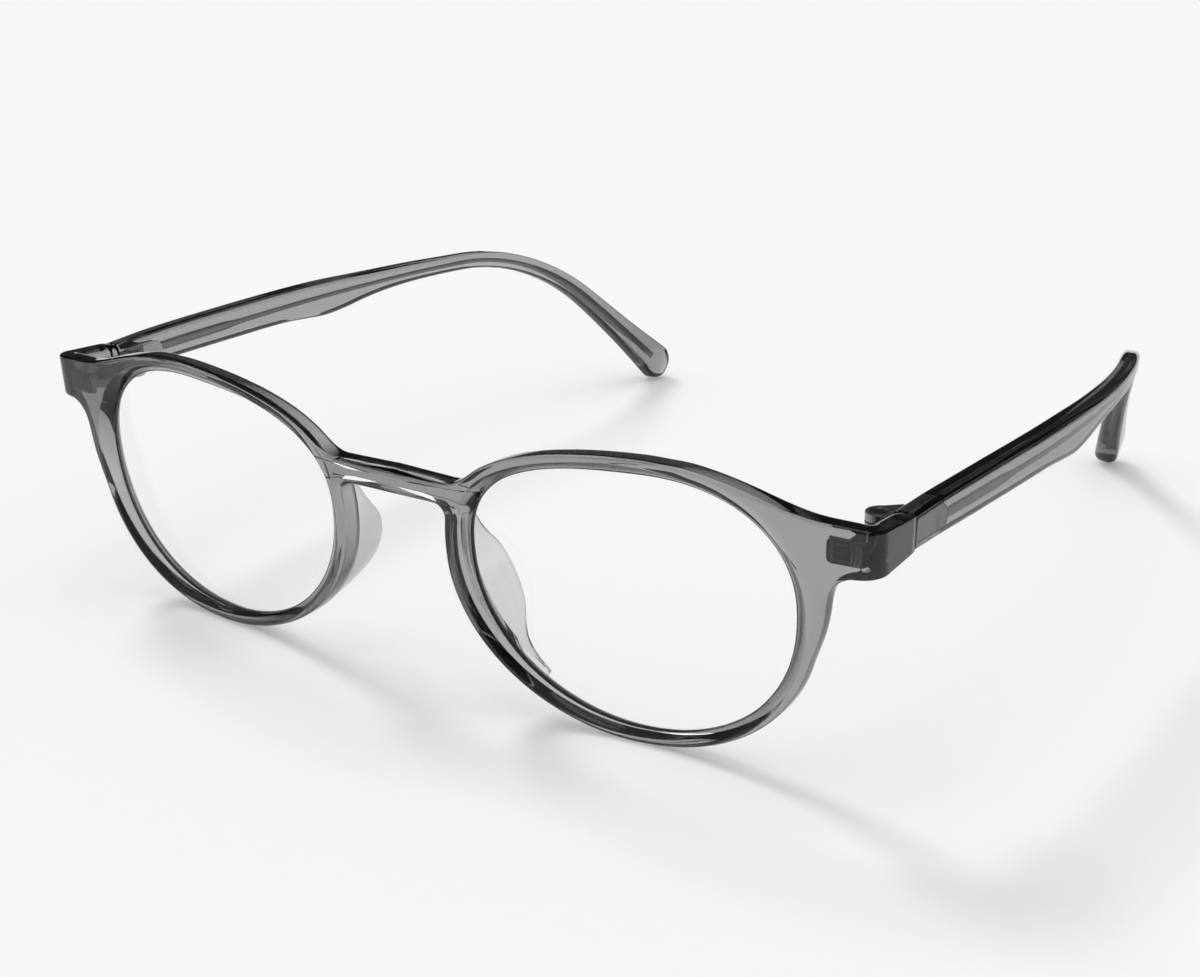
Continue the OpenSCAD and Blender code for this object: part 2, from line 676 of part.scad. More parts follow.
module front_leaf() {
    anchor(0);
    difference() {
        union() {
            ring_bore(mid_low, mid_high, knuckle_r);
            translate([pin_x + 0.3, anchor_y + 1, mid_low])
            cube([knuckle_r - 0.3, pin_y - anchor_y - 1, mid_high - mid_low]);
            translate([pin_x + 0.3, anchor_y + 1, anchor_low])
            cube([knuckle_r - 0.3, pin_y - knuckle_r - 0.9 - anchor_y - 1, anchor_high - anchor_low]);
        }
        ring_bore(mid_low - 1, mid_high + 1, screw_r + 0.04);
    }
}

// Web between the knuckles and the sunk plate
module web(high, x_end) {
    translate([0, 0, knuckle_low])
    linear_extrude(high - knuckle_low)
    polygon([
        [pin_x - 0.9, pin_y + 1.5],
        [pin_x + 1.4, pin_y + 3.75],
        [x_end, pin_y + 3.75],
        [x_end, pin_y + 0.4],
        [pin_x + 1.5, pin_y + 0.4]
    ]);
}

module temple_leaf() {
    plate(0);
    difference() {
        union() {
            ring_bore(mid_high + knuckle_gap, knuckle_top, knuckle_r);
            ring_bore(knuckle_low, mid_low - knuckle_gap, knuckle_r);
            web(knuckle_top, seam_x - arm_t - fit);
            web(plate_high - fit, seam_x - arm_t + web_sink);
        }
        ring_bore(mid_low - knuckle_gap, mid_high + knuckle_gap, knuckle_r + 0.12);
        ring_bore(knuckle_low - 1, knuckle_top + 1, screw_r + 0.03);
        ring_bore(head_z - 0.03, knuckle_top + 1, head_r + 0.05);
    }
}

module screw() {
    difference() {
        union() {
            ring_bore(knuckle_low, head_z, screw_r);
            ring_bore(head_z, knuckle_top - 0.1, head_r);
        }
        translate([pin_x - head_r - 1, pin_y - 0.15, knuckle_top - 0.4])
        cube([2 * head_r + 2, 0.3, 1]);
    }
}

module temple() {
    difference() {
        skin(temple_loops);
        plate(fit);
        skin(wire_loops(wire_from - 0.6, wire_to + 0.2, fit));
    }
}

acetate = [0.42, 0.43, 0.45, 0.75];
clear = [0.85, 0.9, 0.92, 0.3];
metal = [0.72, 0.7, 0.68];
pad_grey = [0.6, 0.61, 0.63, 0.8];

module centred() {
    translate([0, -mid_y, 0])
    children();
}
module centred_mirror() {
    translate([0, -mid_y, 0])
    mirror([1, 0, 0])
    children();
}

module front_frame() {
    color(acetate)
    centred()
    difference() {
        polyhedron(front_pts, front_faces, convexity = 10);
        anchor(fit);
        mirror([1, 0, 0])
        anchor(fit);
    }
}
module lens_left() {
    color(clear)
    centred()
    skin(lens_loops);
}
module lens_right() {
    color(clear)
    centred_mirror()
    skin(lens_loops);
}
module nose_pad_left() {
    color(pad_grey)
    centred()
    skin([for (n = [0:pad_rows]) pad_loop(1 - n / pad_rows)]);
}
module nose_pad_right() {
    color(pad_grey)
    centred_mirror()
    skin([for (n = [0:pad_rows]) pad_loop(1 - n / pad_rows)]);
}
module hinge_front_leaf_left() {
    color(metal)
    centred()
    front_leaf();
}
module hinge_front_leaf_right() {
    color(metal)
    centred_mirror()
    front_leaf();
}
module hinge_temple_leaf_left() {
    color(metal)
    centred()
    temple_leaf();
}
module hinge_temple_leaf_right() {
    color(metal)
    centred_mirror()
    temple_leaf();
}
module hinge_screw_left() {
    color(metal)
    centred()
    screw();
}
module hinge_screw_right() {
    color(metal)
    centred_mirror()
    screw();
}
module temple_left() {
    color(acetate)
    centred()
    temple();
}
module temple_right() {
    color(acetate)
    centred_mirror()
    temple();
}
module core_wire_left() {
    color(metal)
    centred()
    skin(wire_loops(wire_from, wire_to, 0));
}
module core_wire_right() {
    color(metal)
    centred_mirror()
    skin(wire_loops(wire_from, wire_to, 0));
}

front_frame();
lens_left();
lens_right();
nose_pad_left();
nose_pad_right();
hinge_front_leaf_left();
hinge_front_leaf_right();
hinge_temple_leaf_left();
hinge_temple_leaf_right();
hinge_screw_left();
hinge_screw_right();
temple_left();
temple_right();
core_wire_left();
core_wire_right();
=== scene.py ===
# %% [markdown]
# # Panto eyeglasses in clear grey acetate
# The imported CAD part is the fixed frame: it says where each piece sits and how it moves. This script
# builds finer skins over it and gives them their looks. Lengths are worked out in millimetres, as an
# optician would write them, and turned into metres when a mesh is made.

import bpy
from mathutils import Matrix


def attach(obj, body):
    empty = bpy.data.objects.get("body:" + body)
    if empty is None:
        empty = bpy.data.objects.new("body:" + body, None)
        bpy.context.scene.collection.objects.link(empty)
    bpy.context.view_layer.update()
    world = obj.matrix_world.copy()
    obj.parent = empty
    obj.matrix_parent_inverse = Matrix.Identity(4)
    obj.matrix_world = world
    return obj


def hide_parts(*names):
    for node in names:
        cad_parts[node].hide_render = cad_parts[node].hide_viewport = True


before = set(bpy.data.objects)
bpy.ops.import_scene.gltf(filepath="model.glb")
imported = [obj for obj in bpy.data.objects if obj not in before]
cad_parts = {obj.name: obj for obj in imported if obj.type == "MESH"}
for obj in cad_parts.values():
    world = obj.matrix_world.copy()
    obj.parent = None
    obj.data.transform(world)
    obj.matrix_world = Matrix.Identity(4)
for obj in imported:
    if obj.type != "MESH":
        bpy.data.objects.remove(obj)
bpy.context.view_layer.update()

# %% Tools and small helpers
import math

import bpy
import numpy as np
from mathutils import Matrix, Vector

MM = 0.001
# Depths are written from the lens plane. The middle of the object's depth, the frame's zero, is behind it.
MID_Y = 70.42


def cosd(t):
    return np.cos(np.radians(t))


def sind(t):
    return np.sin(np.radians(t))


def mix(a, b, f):
    return a + (b - a) * f


def smooth(v):
    c = np.clip(v, 0, 1)
    return c * c * (3 - 2 * c)


def unit(v):
    return v / np.linalg.norm(v, axis=-1, keepdims=True)


def fillet_min(a, b, k):
    return np.minimum(a, b) - np.maximum(k - abs(a - b), 0) ** 2 / (4 * k)


def curve(rows, s):
    """A smooth cubic through rows of (place, value), with slopes taken from the neighbours."""
    x, y = np.array(rows, float).T
    m = np.empty_like(y)
    m[1:-1] = (y[2:] - y[:-2]) / (x[2:] - x[:-2])
    m[0] = (y[1] - y[0]) / (x[1] - x[0])
    m[-1] = (y[-1] - y[-2]) / (x[-1] - x[-2])
    s = np.asarray(s, float)
    i = np.clip(np.searchsorted(x, s, side="right") - 1, 0, len(x) - 2)
    w = x[i + 1] - x[i]
    u = np.clip((s - x[i]) / w, 0, 1)
    p, q, a, b = y[i], y[i + 1], m[i] * w, m[i + 1] * w
    return p + u * (a + u * (3 * (q - p) - 2 * a - b + u * (2 * (p - q) + a + b)))


def halve(inside, lo, hi, steps=30):
    """Walks every ray at once out to the place where inside() stops being true."""
    lo, hi = np.array(lo, float), np.array(hi, float)
    for _ in range(steps):
        m = (lo + hi) / 2
        yes = inside(m)
        lo, hi = np.where(yes, m, lo), np.where(yes, hi, m)
    return (lo + hi) / 2


print("spline check:", float(curve([[0, 1], [1, 2], [2, 3]], 1.5)))

# %% [markdown]
# ## Making a mesh
# Every piece is a net of points in rows, so one function turns rows into a closed skin and another turns
# points and faces into a Blender object. Shading is smooth, with edges sharper than a set angle kept.

# %% Points and faces into an object
def piece(name, points, faces, body, sharp=40, mirrored=False):
    p = np.array(points, float)
    p[:, 1] -= MID_Y
    if mirrored:
        p[:, 0] *= -1
    else:
        faces = [f[::-1] for f in faces]
    mesh = bpy.data.meshes.new(name)
    mesh.from_pydata((p * MM).tolist(), [], [list(map(int, f)) for f in faces])
    mesh.validate()
    mesh.shade_smooth()
    mesh.set_sharp_from_angle(angle=math.radians(sharp))
    obj = bpy.data.objects.new(name, mesh)
    bpy.context.scene.collection.objects.link(obj)
    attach(obj, body)
    return obj


def skin_faces(rows, n):
    faces = [list(range(n))[::-1]]
    for i in range(rows - 1):
        for q in range(n):
            r = (q + 1) % n
            faces.append([i * n + q, i * n + r, (i + 1) * n + r, (i + 1) * n + q])
    faces.append([(rows - 1) * n + q for q in range(n)])
    return faces


def skin(name, loops, body, sharp=40, mirrored=False):
    loops = np.array(loops, float)
    rows, n, _ = loops.shape
    return piece(name, loops.reshape(-1, 3), skin_faces(rows, n), body, sharp, mirrored)


print("faces of a skin with two rows of four:", len(skin_faces(2, 4)))

# %% Closed shells, and several of them in one piece
def pulled_in(plan, by):
    step = np.roll(plan, -1, axis=0) - np.roll(plan, 1, axis=0)
    return plan - by * unit(np.stack([step[:, 1], -step[:, 0]], -1))


def level_loop(plan, z):
    return np.column_stack([plan, np.full(len(plan), z)])


def prism(plan, low, high, edge=0.1):
    """A plan, anticlockwise, as a solid with chamfered rims."""
    small = pulled_in(plan, edge)
    rows = [(small, high), (plan, high - edge), (plan, low + edge), (small, low)]
    return np.concatenate([level_loop(p, z) for p, z in rows]), skin_faces(len(rows), len(plan))


def collar(plan, hole_r, low, high, edge=0.12):
    """A plan round the pin with a bore through it."""
    a = np.arange(len(plan)) * 360 / len(plan)
    bore, mouth = (np.stack([r * cosd(a), r * sind(a)], -1) for r in (hole_r, hole_r + edge))
    small = pulled_in(plan, edge)
    rows = [(mouth, high), (small, high), (plan, high - edge), (plan, low + edge), (small, low)]
    rows += [(bore, low), (bore, high - edge)]
    n, faces = len(plan), []
    for i in range(len(rows)):
        for q in range(n):
            r, j = (q + 1) % n, (i + 1) % len(rows)
            faces.append([i * n + q, i * n + r, j * n + r, j * n + q])
    return np.concatenate([level_loop(p, z) for p, z in rows]), faces


def box_plan(x0, x1, y0, y1, each=4):
    """A rectangle with points along its sides, so that its chamfers stay square."""
    u = np.arange(each) / each
    sides = [(mix(x0, x1, u), y0 + 0 * u), (x1 + 0 * u, mix(y0, y1, u))]
    sides += [(mix(x1, x0, u), y1 + 0 * u), (x0 + 0 * u, mix(y1, y0, u))]
    return np.concatenate([np.stack(s, -1) for s in sides])


def hollow(shell):
    """The same shell turned inside out, for a pocket in a clear piece."""
    points, faces = shell
    return points, [f[::-1] for f in faces]


def gather(name, shells, body, mirrored, sharp=30):
    points, faces = [], []
    for p, f in shells:
        faces += [[v + len(points) for v in one] for one in f]
        points += [tuple(v) for v in p]
    return piece(name, points, faces, body, sharp, mirrored)


print("points round a box's plan:", len(box_plan(0, 1, 0, 1)))

# %% [markdown]
# ## The front
# A real front is milled from a sheet of acetate, bent to a slight arch, then tumbled until its edges are
# soft. So the model is one outline (a rim, a bridge band and an endpiece band blended into each other)
# with a section swept round it. The same formulas as the CAD part give the same shape, with three times
# the stations and tumbled corners. The front edges of the bridge, above and below, are rounded more than
# the rims' are, and this wide rounding runs out beside the bridge, where a cutter would leave the sheet.

# %% Sizes of the front
LIP_OUT, LIP_IN, LIP_UP, LIP_DOWN = 21.1, 25.8, 15.4, 21.05
# How square the opening is on its temple side, and on its nose side above and below (2 is an ellipse).
SQUARE_TEMPLE, SQUARE_BROW, SQUARE_NOSE = 2.21, 2.64, 2.0
CROWN_X, WIDEST_Z, BROW_LIFT = 37.85, 22.65, 0.056
RIM_TOP, RIM_BOTTOM, RIM_TEMPLE, RIM_CHEEK, RIM_NOSE = 2.35, 1.55, 4.2, 2.8, 3.3
DEPTH_FRONT, DEPTH_BACK, WRAP, TILT, TILT_Z = 2.0, 1.8, 4.87, 4.77, 20.3
BRIDGE_TOP, BRIDGE_LOW = 32.3, 28.4
SEAM_X, SEAM_Y, ARM_T, CORNER_R, ARM_Z = 70.0, 11.2, 3.4, 3.0, 32.7
END_TOP, END_LOW, SEAM_HALF, SEAM_GAP = 36.1, 29.6, 2.5, 0.05
TURN_X = SEAM_X - ARM_T - 0.3
LENS_CX = CROWN_X + (LIP_OUT - LIP_IN) / 2
ARCH = math.tan(math.radians(WRAP)) / (2 * LENS_CX)
HUB_Z, FILLET_Z = 29.8, 30.5
BRIDGE_FILLET_TOP, BRIDGE_FILLET_LOW, BRIDGE_FALL = 2.0, 2.2, 0.03
END_FILLET_TOP, END_FILLET_LOW, END_RISE, BROW_FADE = 5.0, 7.0, 0.05, 10
FRONT_ROUND, FRONT_ROUND_D = 0.45, 0.5
OVER_W, OVER_D, OVER_FROM, OVER_FADE = 1.2, 1.5, 10.2, 1.6
UNDER_W, UNDER_D, UNDER_FROM, UNDER_FADE = 1.6, 1.1, 9.3, 2.6
BACK_ROUND, BACK_ROUND_TEMPLE, WALL_BACK, WALL_BACK_TEMPLE = 0.8, 1.5, 0.5, -0.5
BEVEL_TOP, BEVEL_BOTTOM, BEVEL_TEMPLE, BEVEL_NOSE, BACK_BEVEL = 1.5, 0.95, 2.0, 1.9, 1.3
GROOVE, GROOVE_HALF = 0.5, 0.35


def face_y(x, z, d):
    return ARCH * (x * x - LENS_CX**2) + d - (z - TILT_Z) * math.tan(math.radians(TILT))


TURN_Y = face_y(TURN_X, END_LOW - 0.4, DEPTH_BACK) + 0.05


def face(p, d):
    x, z = p[..., 0], p[..., 1]
    return np.stack([x, face_y(x, z, d) + 0 * x, z], -1)


print("lens centre, mm from the middle:", round(LENS_CX, 2))

# %% Lens opening and rim widths
def lip_r(t):
    c, s = cosd(t), sind(t)
    n = np.where(c >= 0, SQUARE_TEMPLE, np.where(s >= 0, SQUARE_BROW, SQUARE_NOSE))
    a = np.where(c >= 0, LIP_OUT, LIP_IN)
    b = np.where(s >= 0, LIP_UP * (1 + BROW_LIFT * c), LIP_DOWN * (1 - BROW_LIFT * c))
    return ((abs(c) / a) ** n + (abs(s) / b) ** n) ** (-1 / n)


def around(t, top, low, temple, nose):
    c, s = cosd(t), sind(t)
    side = abs(c) ** np.where((s < 0) & (c > 0), 2, 4)
    return mix(np.where(s >= 0, top, low), np.where(c >= 0, temple, nose), side)


def rim_w(t):
    outer = mix(RIM_CHEEK, RIM_TEMPLE, smooth((sind(t) + 0.3) / 0.4))
    return around(t, RIM_TOP, RIM_BOTTOM, outer, RIM_NOSE)


def temple_part(t):
    return np.where(cosd(t) > 0, cosd(t) ** 4, 0)


def back_w(t):
    return mix(BACK_ROUND, BACK_ROUND_TEMPLE, temple_part(t))


def wall_d(t):
    return mix(WALL_BACK, WALL_BACK_TEMPLE, temple_part(t))


def polar(p):
    x, z = p[..., 0] - CROWN_X, p[..., 1] - WIDEST_Z
    return np.degrees(np.arctan2(z, x)), np.hypot(x, z)


def band_d(z, low, top):
    return abs(z - (low + top) / 2) - (top - low) / 2


def outline_d(p):
    t, r = polar(p)
    x, z = p[..., 0], p[..., 1]
    rim, up = r - lip_r(t) - rim_w(t), z > FILLET_Z
    bridge = band_d(z, BRIDGE_LOW, BRIDGE_TOP - BRIDGE_FALL * x)
    end = band_d(z, END_LOW, END_TOP + END_RISE * (TURN_X - x))
    nose_side = fillet_min(rim, bridge, np.where(up, BRIDGE_FILLET_TOP, BRIDGE_FILLET_LOW))
    brow = END_FILLET_TOP * np.maximum(smooth((x - LENS_CX) / BROW_FADE), 0.002)
    return np.where(x < LENS_CX, nose_side, fillet_min(rim, end, np.where(up, brow, END_FILLET_LOW)))


print("opening, mm wide and high:", [round(float(lip_r(t) + lip_r(t + 180)), 1) for t in (0, 90)])

# %% Stations round half of the front
FINE = 3
TOP_N, CUT_N, LOW_N = 40 * FINE, 4 * FINE, 56 * FINE
ALL_N = TOP_N + LOW_N + 2 * CUT_N
MID_TOP, MID_LOW, END_LOW_I = TOP_N, TOP_N + CUT_N, TOP_N + CUT_N + LOW_N


def hub_point(a, r):
    return np.stack([LENS_CX + r * cosd(a), HUB_Z + r * sind(a)], -1)


def on_cut(z):
    return np.stack([TURN_X + 0 * z, z], -1)


CUT_TOP = float(halve(lambda z: outline_d(on_cut(z)) < 0, 33, END_TOP + 2))
CUT_LOW = float(halve(lambda z: outline_d(on_cut(z)) < 0, 33, END_LOW - 2))


def ease(u):
    return np.where(u < 0.5, 2 * u * u, 1 - 2 * (1 - u) ** 2)


def stations():
    top = math.degrees(math.atan2(CUT_TOP - HUB_Z, TURN_X - LENS_CX))
    mid_top = 180 - math.degrees(math.atan2(BRIDGE_TOP - HUB_Z, LENS_CX))
    mid_low = 180 + math.degrees(math.atan2(HUB_Z - BRIDGE_LOW, LENS_CX))
    low = 360 - math.degrees(math.atan2(HUB_Z - CUT_LOW, TURN_X - LENS_CX))
    return np.concatenate([
        mix(top, mid_top, ease(np.arange(TOP_N) / TOP_N)),
        mix(mid_top, mid_low, np.arange(CUT_N) / CUT_N),
        mix(mid_low, low, ease(np.arange(LOW_N) / LOW_N)),
        mix(low, 360 + top, np.arange(CUT_N) / CUT_N),
    ])


index = np.arange(ALL_N)
angles = stations()
nearest, farthest = np.full(ALL_N, 5.0), np.full(ALL_N, 60.0)


def in_opening(r):
    t, away = polar(hub_point(angles, r))
    return away < lip_r(t)


lip_pts = hub_point(angles, halve(in_opening, nearest, farthest))
out_pts = hub_point(angles, halve(lambda r: outline_d(hub_point(angles, r)) < 0, nearest, farthest))
is_mid = (index >= MID_TOP) & (index <= MID_LOW)
is_end = (index == 0) | (index >= END_LOW_I)
cut_f = np.where(is_mid, (index - MID_TOP) / CUT_N, np.where(index == 0, 1.0, (index - END_LOW_I) / CUT_N))


def cut_pt(w):
    mid = np.stack([0 * cut_f, mix(BRIDGE_TOP - w, BRIDGE_LOW + w, cut_f)], -1)
    end = np.stack([TURN_X + 0 * cut_f, mix(CUT_LOW + w, CUT_TOP - w, cut_f)], -1)
    return np.where(is_mid[:, None], mid, end)


out_pts = np.where((is_mid | is_end)[:, None], cut_pt(0.0), out_pts)
print("stations:", ALL_N, "endpiece from", round(CUT_LOW, 2), "to", round(CUT_TOP, 2), "mm")

# %% The section of the rim
def outline_normals():
    step = np.roll(out_pts, -1, axis=0) - np.roll(out_pts, 1, axis=0)
    n = -unit(np.stack([-step[:, 1], step[:, 0]], -1) + 1e-12)
    n[is_mid | is_end] = 0
    n[[0, MID_TOP]] = (0, 1)
    n[[MID_LOW, END_LOW_I]] = (0, -1)
    return n


ARC_F, ARC_B = 6, 9


def section():
    lip, out, n = lip_pts, out_pts, outline_normals()
    e = unit(out - lip)
    col = lambda v: np.asarray(v)[:, None]
    b = col(around(polar(lip)[0], BEVEL_TOP, BEVEL_BOTTOM, BEVEL_TEMPLE, BEVEL_NOSE))
    nose_side = (index >= MID_LOW) & (index < END_LOW_I)
    under = np.where(nose_side, smooth((UNDER_FROM - out[:, 0]) / UNDER_FADE), 0)
    over = np.where(index <= MID_TOP, smooth((OVER_FROM - out[:, 0]) / OVER_FADE), 0)
    fw = mix(mix(FRONT_ROUND, OVER_W, over), UNDER_W, under)
    fd = mix(mix(FRONT_ROUND_D, OVER_D, over), UNDER_D, under)
    wide, t = np.linalg.norm(out - lip, axis=1), polar(out)[0]
    bw, wall = np.minimum(back_w(t), 0.5 * wide), wall_d(t)
    bd, recess = DEPTH_BACK - wall, col(np.minimum(BACK_BEVEL, 0.42 * wide))
    inner = (is_mid & (index != MID_TOP) & (index != MID_LOW)) | (is_end & (index > END_LOW_I))
    cut_bw = float(back_w(polar(np.array([TURN_X, CUT_TOP]))[0]))
    at_front = cut_pt(np.where(is_mid, mix(OVER_W, UNDER_W, cut_f), FRONT_ROUND))
    at_back = cut_pt(np.where(is_mid, BACK_ROUND, cut_bw))
    inner = col(inner)
    rows = [
        face(lip + e * GROOVE, 0),
        face(lip, -GROOVE_HALF),
        face(lip + e * b * 0.5, mix(-GROOVE_HALF, -DEPTH_FRONT, 0.62)),
        face(lip + e * b, -DEPTH_FRONT),
        face(np.where(inner, at_front, out - n * col(fw)), -DEPTH_FRONT),
    ]
    for q in range(1, ARC_F + 1):
        a = math.radians(90 * q / ARC_F)
        rows.append(face(out - n * col(fw) * (1 - math.sin(a)), -DEPTH_FRONT + fd * (1 - math.cos(a))))
    for q in range(ARC_B):
        a = math.radians(90 * q / ARC_B)
        rows.append(face(out - n * col(bw) * (1 - math.cos(a)), wall + bd * math.sin(a)))
    rows += [
        face(np.where(inner, at_back, out - n * col(bw)), DEPTH_BACK),
        face(lip + e * recess, DEPTH_BACK),
        face(lip + e * recess * 0.4, mix(GROOVE_HALF, DEPTH_BACK, 0.55)),
        face(lip, GROOVE_HALF),
    ]
    return np.stack(rows, 1)


def tumble(net, radii, steps=4):
    """Rounds chosen columns of a net, as tumbling in a drum softens milled edges."""
    cols, at = [], {}
    count = net.shape[1]
    for k in range(count):
        at[k] = len(cols)
        p = net[:, k]
        if k not in radii:
            cols.append(p)
            continue
        ends = []
        for q in (net[:, k - 1], net[:, (k + 1) % count]):
            d = np.linalg.norm(q - p, axis=1, keepdims=True)
            ends.append(p + (q - p) / d * np.minimum(radii[k], 0.45 * d))
        for u in np.linspace(0, 1, steps):
            cols.append((1 - u) ** 2 * ends[0] + 2 * u * (1 - u) * p + u * u * ends[1])
    return np.stack(cols, 1), at


raw = section()
last = raw.shape[1] - 1
# The radius in mm of each softened corner, by its column in the section.
net, at = tumble(raw, {1: 0.1, 2: 0.6, 3: 0.16, last - 2: 0.2, last - 1: 0.35, last: 0.1})
EDGE_F, EDGE_B, SECTION_N = at[4], at[last - 3], net.shape[1]
print("columns in the section:", SECTION_N)

# %% [markdown]
# ## The endpiece
# At the temple side the front turns back through a right angle to meet the temple. Its sections turn about
# the inner corner, so the outer corner is a round of 3 mm and the inner one stays tight, as a cutter
# leaves it.

# %% Rings of the endpiece
loop = (
    [((END_LOW_I + j) % ALL_N, EDGE_F) for j in range(CUT_N + 1)]
    + [(0, k) for k in range(EDGE_F + 1, EDGE_B)]
    + [((END_LOW_I + j) % ALL_N, EDGE_B) for j in range(CUT_N, -1, -1)]
    + [(END_LOW_I, k) for k in range(EDGE_B - 1, EDGE_F, -1)]
)
LOOP_N = len(loop)
loop_xyz = np.array([net[i, k] for i, k in loop])
across = (face_y(loop_xyz[:, 0], loop_xyz[:, 2], DEPTH_BACK) - loop_xyz[:, 1]) / (DEPTH_FRONT + DEPTH_BACK)
upness = (loop_xyz[:, 2] - CUT_LOW) / (CUT_TOP - CUT_LOW)
TURNS, SIDES = 20, 6
FRONT_SEAM = SEAM_Y - SEAM_GAP


def arm_height(f):
    return mix(mix(CUT_LOW, ARM_Z - SEAM_HALF, f), mix(CUT_TOP, ARM_Z + SEAM_HALF, f), upness)


def shell_d(x, y, z):
    a = x - (SEAM_X - CORNER_R)
    b = face_y(SEAM_X - CORNER_R, z, -DEPTH_FRONT) + CORNER_R - y
    return np.hypot(np.maximum(a, 0), np.maximum(b, 0)) + np.minimum(np.maximum(a, b), 0) - CORNER_R


def turned_ring(f):
    s, c, z = math.sin(math.radians(90 * f)), math.cos(math.radians(90 * f)), arm_height(0.5 * f)
    near = mix(TURN_Y - face_y(TURN_X, z, DEPTH_BACK), 0.3, f)
    hit = halve(lambda m: shell_d(TURN_X + m * s, TURN_Y - m * c, z) < 0, 0.5 + 0 * z, 9 + 0 * z)
    far = mix(TURN_Y - face_y(TURN_X, z, -DEPTH_FRONT), hit, smooth(3 * f))
    r = mix(near, far, across)
    return np.stack([TURN_X + r * s, TURN_Y - r * c, z], -1)


def side_ring(y, inset):
    f = mix(0.5, 1, (y - TURN_Y) / (FRONT_SEAM - TURN_Y))
    x, z = mix(SEAM_X - ARM_T, SEAM_X, across), arm_height(f)
    x = mix(x, SEAM_X - ARM_T / 2, inset / (ARM_T / 2))
    z = mix(z, ARM_Z, inset / SEAM_HALF)
    return np.stack([x, y + 0 * z, z], -1)


rings = [turned_ring(j / TURNS) for j in range(1, TURNS + 1)]
rings += [side_ring(y, 0) for y in np.linspace(TURN_Y, FRONT_SEAM - 0.15, SIDES + 1)[1:]]
rings += [side_ring(FRONT_SEAM - 0.05, 0.04), side_ring(FRONT_SEAM, 0.12)]
print("rings in an endpiece:", len(rings))

# %% Hinge sizes
PIN_IN, PIN_BACK, PIN_DROP, FOOT_UP = 5.4, 0.9, 0.2, 1.47
PIN_X, PIN_Y, HINGE_Z = SEAM_X - PIN_IN, SEAM_Y + PIN_BACK, ARM_Z - PIN_DROP
KNUCKLE_R, KNUCKLE_HALF, MID_HALF, SCREW_R, HEAD_R = 1.8, 1.9, 0.6, 0.65, 1.1
HEAD_Z = HINGE_Z + KNUCKLE_HALF - 0.65
ANCHOR_IN, ANCHOR_OUT = PIN_X - 2.2, PIN_X + 2.4
ANCHOR_LOW, ANCHOR_HIGH = HINGE_Z - 1.9, HINGE_Z + 1.3
ANCHOR_SUNK, EYE_PLAY, LEAF_GAP = 1.4, 0.03, 0.05
ANCHOR_Y = face_y(PIN_X, HINGE_Z, DEPTH_BACK) - ANCHOR_SUNK
ARM_IN, ARM_OUT = PIN_X + 0.3, PIN_X + KNUCKLE_R
round_a = np.arange(72) * 5
circle = np.stack([cosd(round_a), sind(round_a)], -1)


def at_pin(shell):
    points, faces = shell
    return points + (PIN_X, PIN_Y, 0), faces


print("hinge pin, mm:", round(PIN_X, 2), round(PIN_Y, 2))

# %% Faces of the whole front
half = np.concatenate([net.reshape(-1, 3), np.concatenate(rings)])
HALF_N, GRID_N = len(half), net.shape[0] * SECTION_N


def grid_v(i, k):
    return (i % ALL_N) * SECTION_N + k % SECTION_N


def ring_v(j, q):
    i, k = loop[q % LOOP_N]
    return grid_v(i, k) if j == 0 else GRID_N + (j - 1) * LOOP_N + q % LOOP_N


def is_open(i, k):
    return EDGE_F <= k < EDGE_B and (MID_TOP <= i < MID_LOW or i >= END_LOW_I)


half_faces = [
    [grid_v(i + 1, k), grid_v(i + 1, k + 1), grid_v(i, k + 1), grid_v(i, k)]
    for i in range(ALL_N) for k in range(SECTION_N) if not is_open(i, k)
]
half_faces += [
    [ring_v(j, q), ring_v(j, q + 1), ring_v(j + 1, q + 1), ring_v(j + 1, q)]
    for j in range(len(rings)) for q in range(LOOP_N)
]
half_faces.append([ring_v(len(rings), q) for q in range(LOOP_N)])
shared = abs(half[:, 0]) < 1e-9
other = np.where(shared, np.arange(HALF_N), np.arange(HALF_N) + HALF_N)
front_faces = [f[::-1] for f in half_faces] + [[other[v] for v in f] for f in half_faces]
front_points = np.concatenate([half, half * (-1, 1, 1)])
used = np.zeros(len(front_points), bool)
used[np.unique(np.concatenate([np.ravel(f) for f in front_faces]))] = True
renumber = np.cumsum(used) - 1
front_faces = [[renumber[v] for v in f][::-1] for f in front_faces]
front = piece("front", front_points[used], front_faces, "front", 35)
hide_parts("front_frame")
print("front:", len(front.data.vertices), "points")

# %% [markdown]
# ## Lenses
# A new frame comes with plain demonstration lenses. Each is a slice with two curved faces and a V edge
# that snaps into the groove in the rim. The V is ground and not polished, so it has a finish of its own,
# rough and painted near black as shade for the dark line round the lip.

# %% Lens skins
LENS_T, LENS_BULGE, LENS_SIDES = 1.7, 1.9, 216
LENS_PLAY, V_REACH, V_HALF = -0.08, 0.44, 0.32


def lens_ring(grow, shrink, d):
    t = np.arange(LENS_SIDES) * 360 / LENS_SIDES
    r = (lip_r(t) + grow) * shrink
    p = np.stack([CROWN_X + r * cosd(t), WIDEST_Z + r * sind(t)], -1)
    s = np.clip(r / lip_r(t), 0, 1)
    return face(p, d - LENS_BULGE * (1 - s * s))


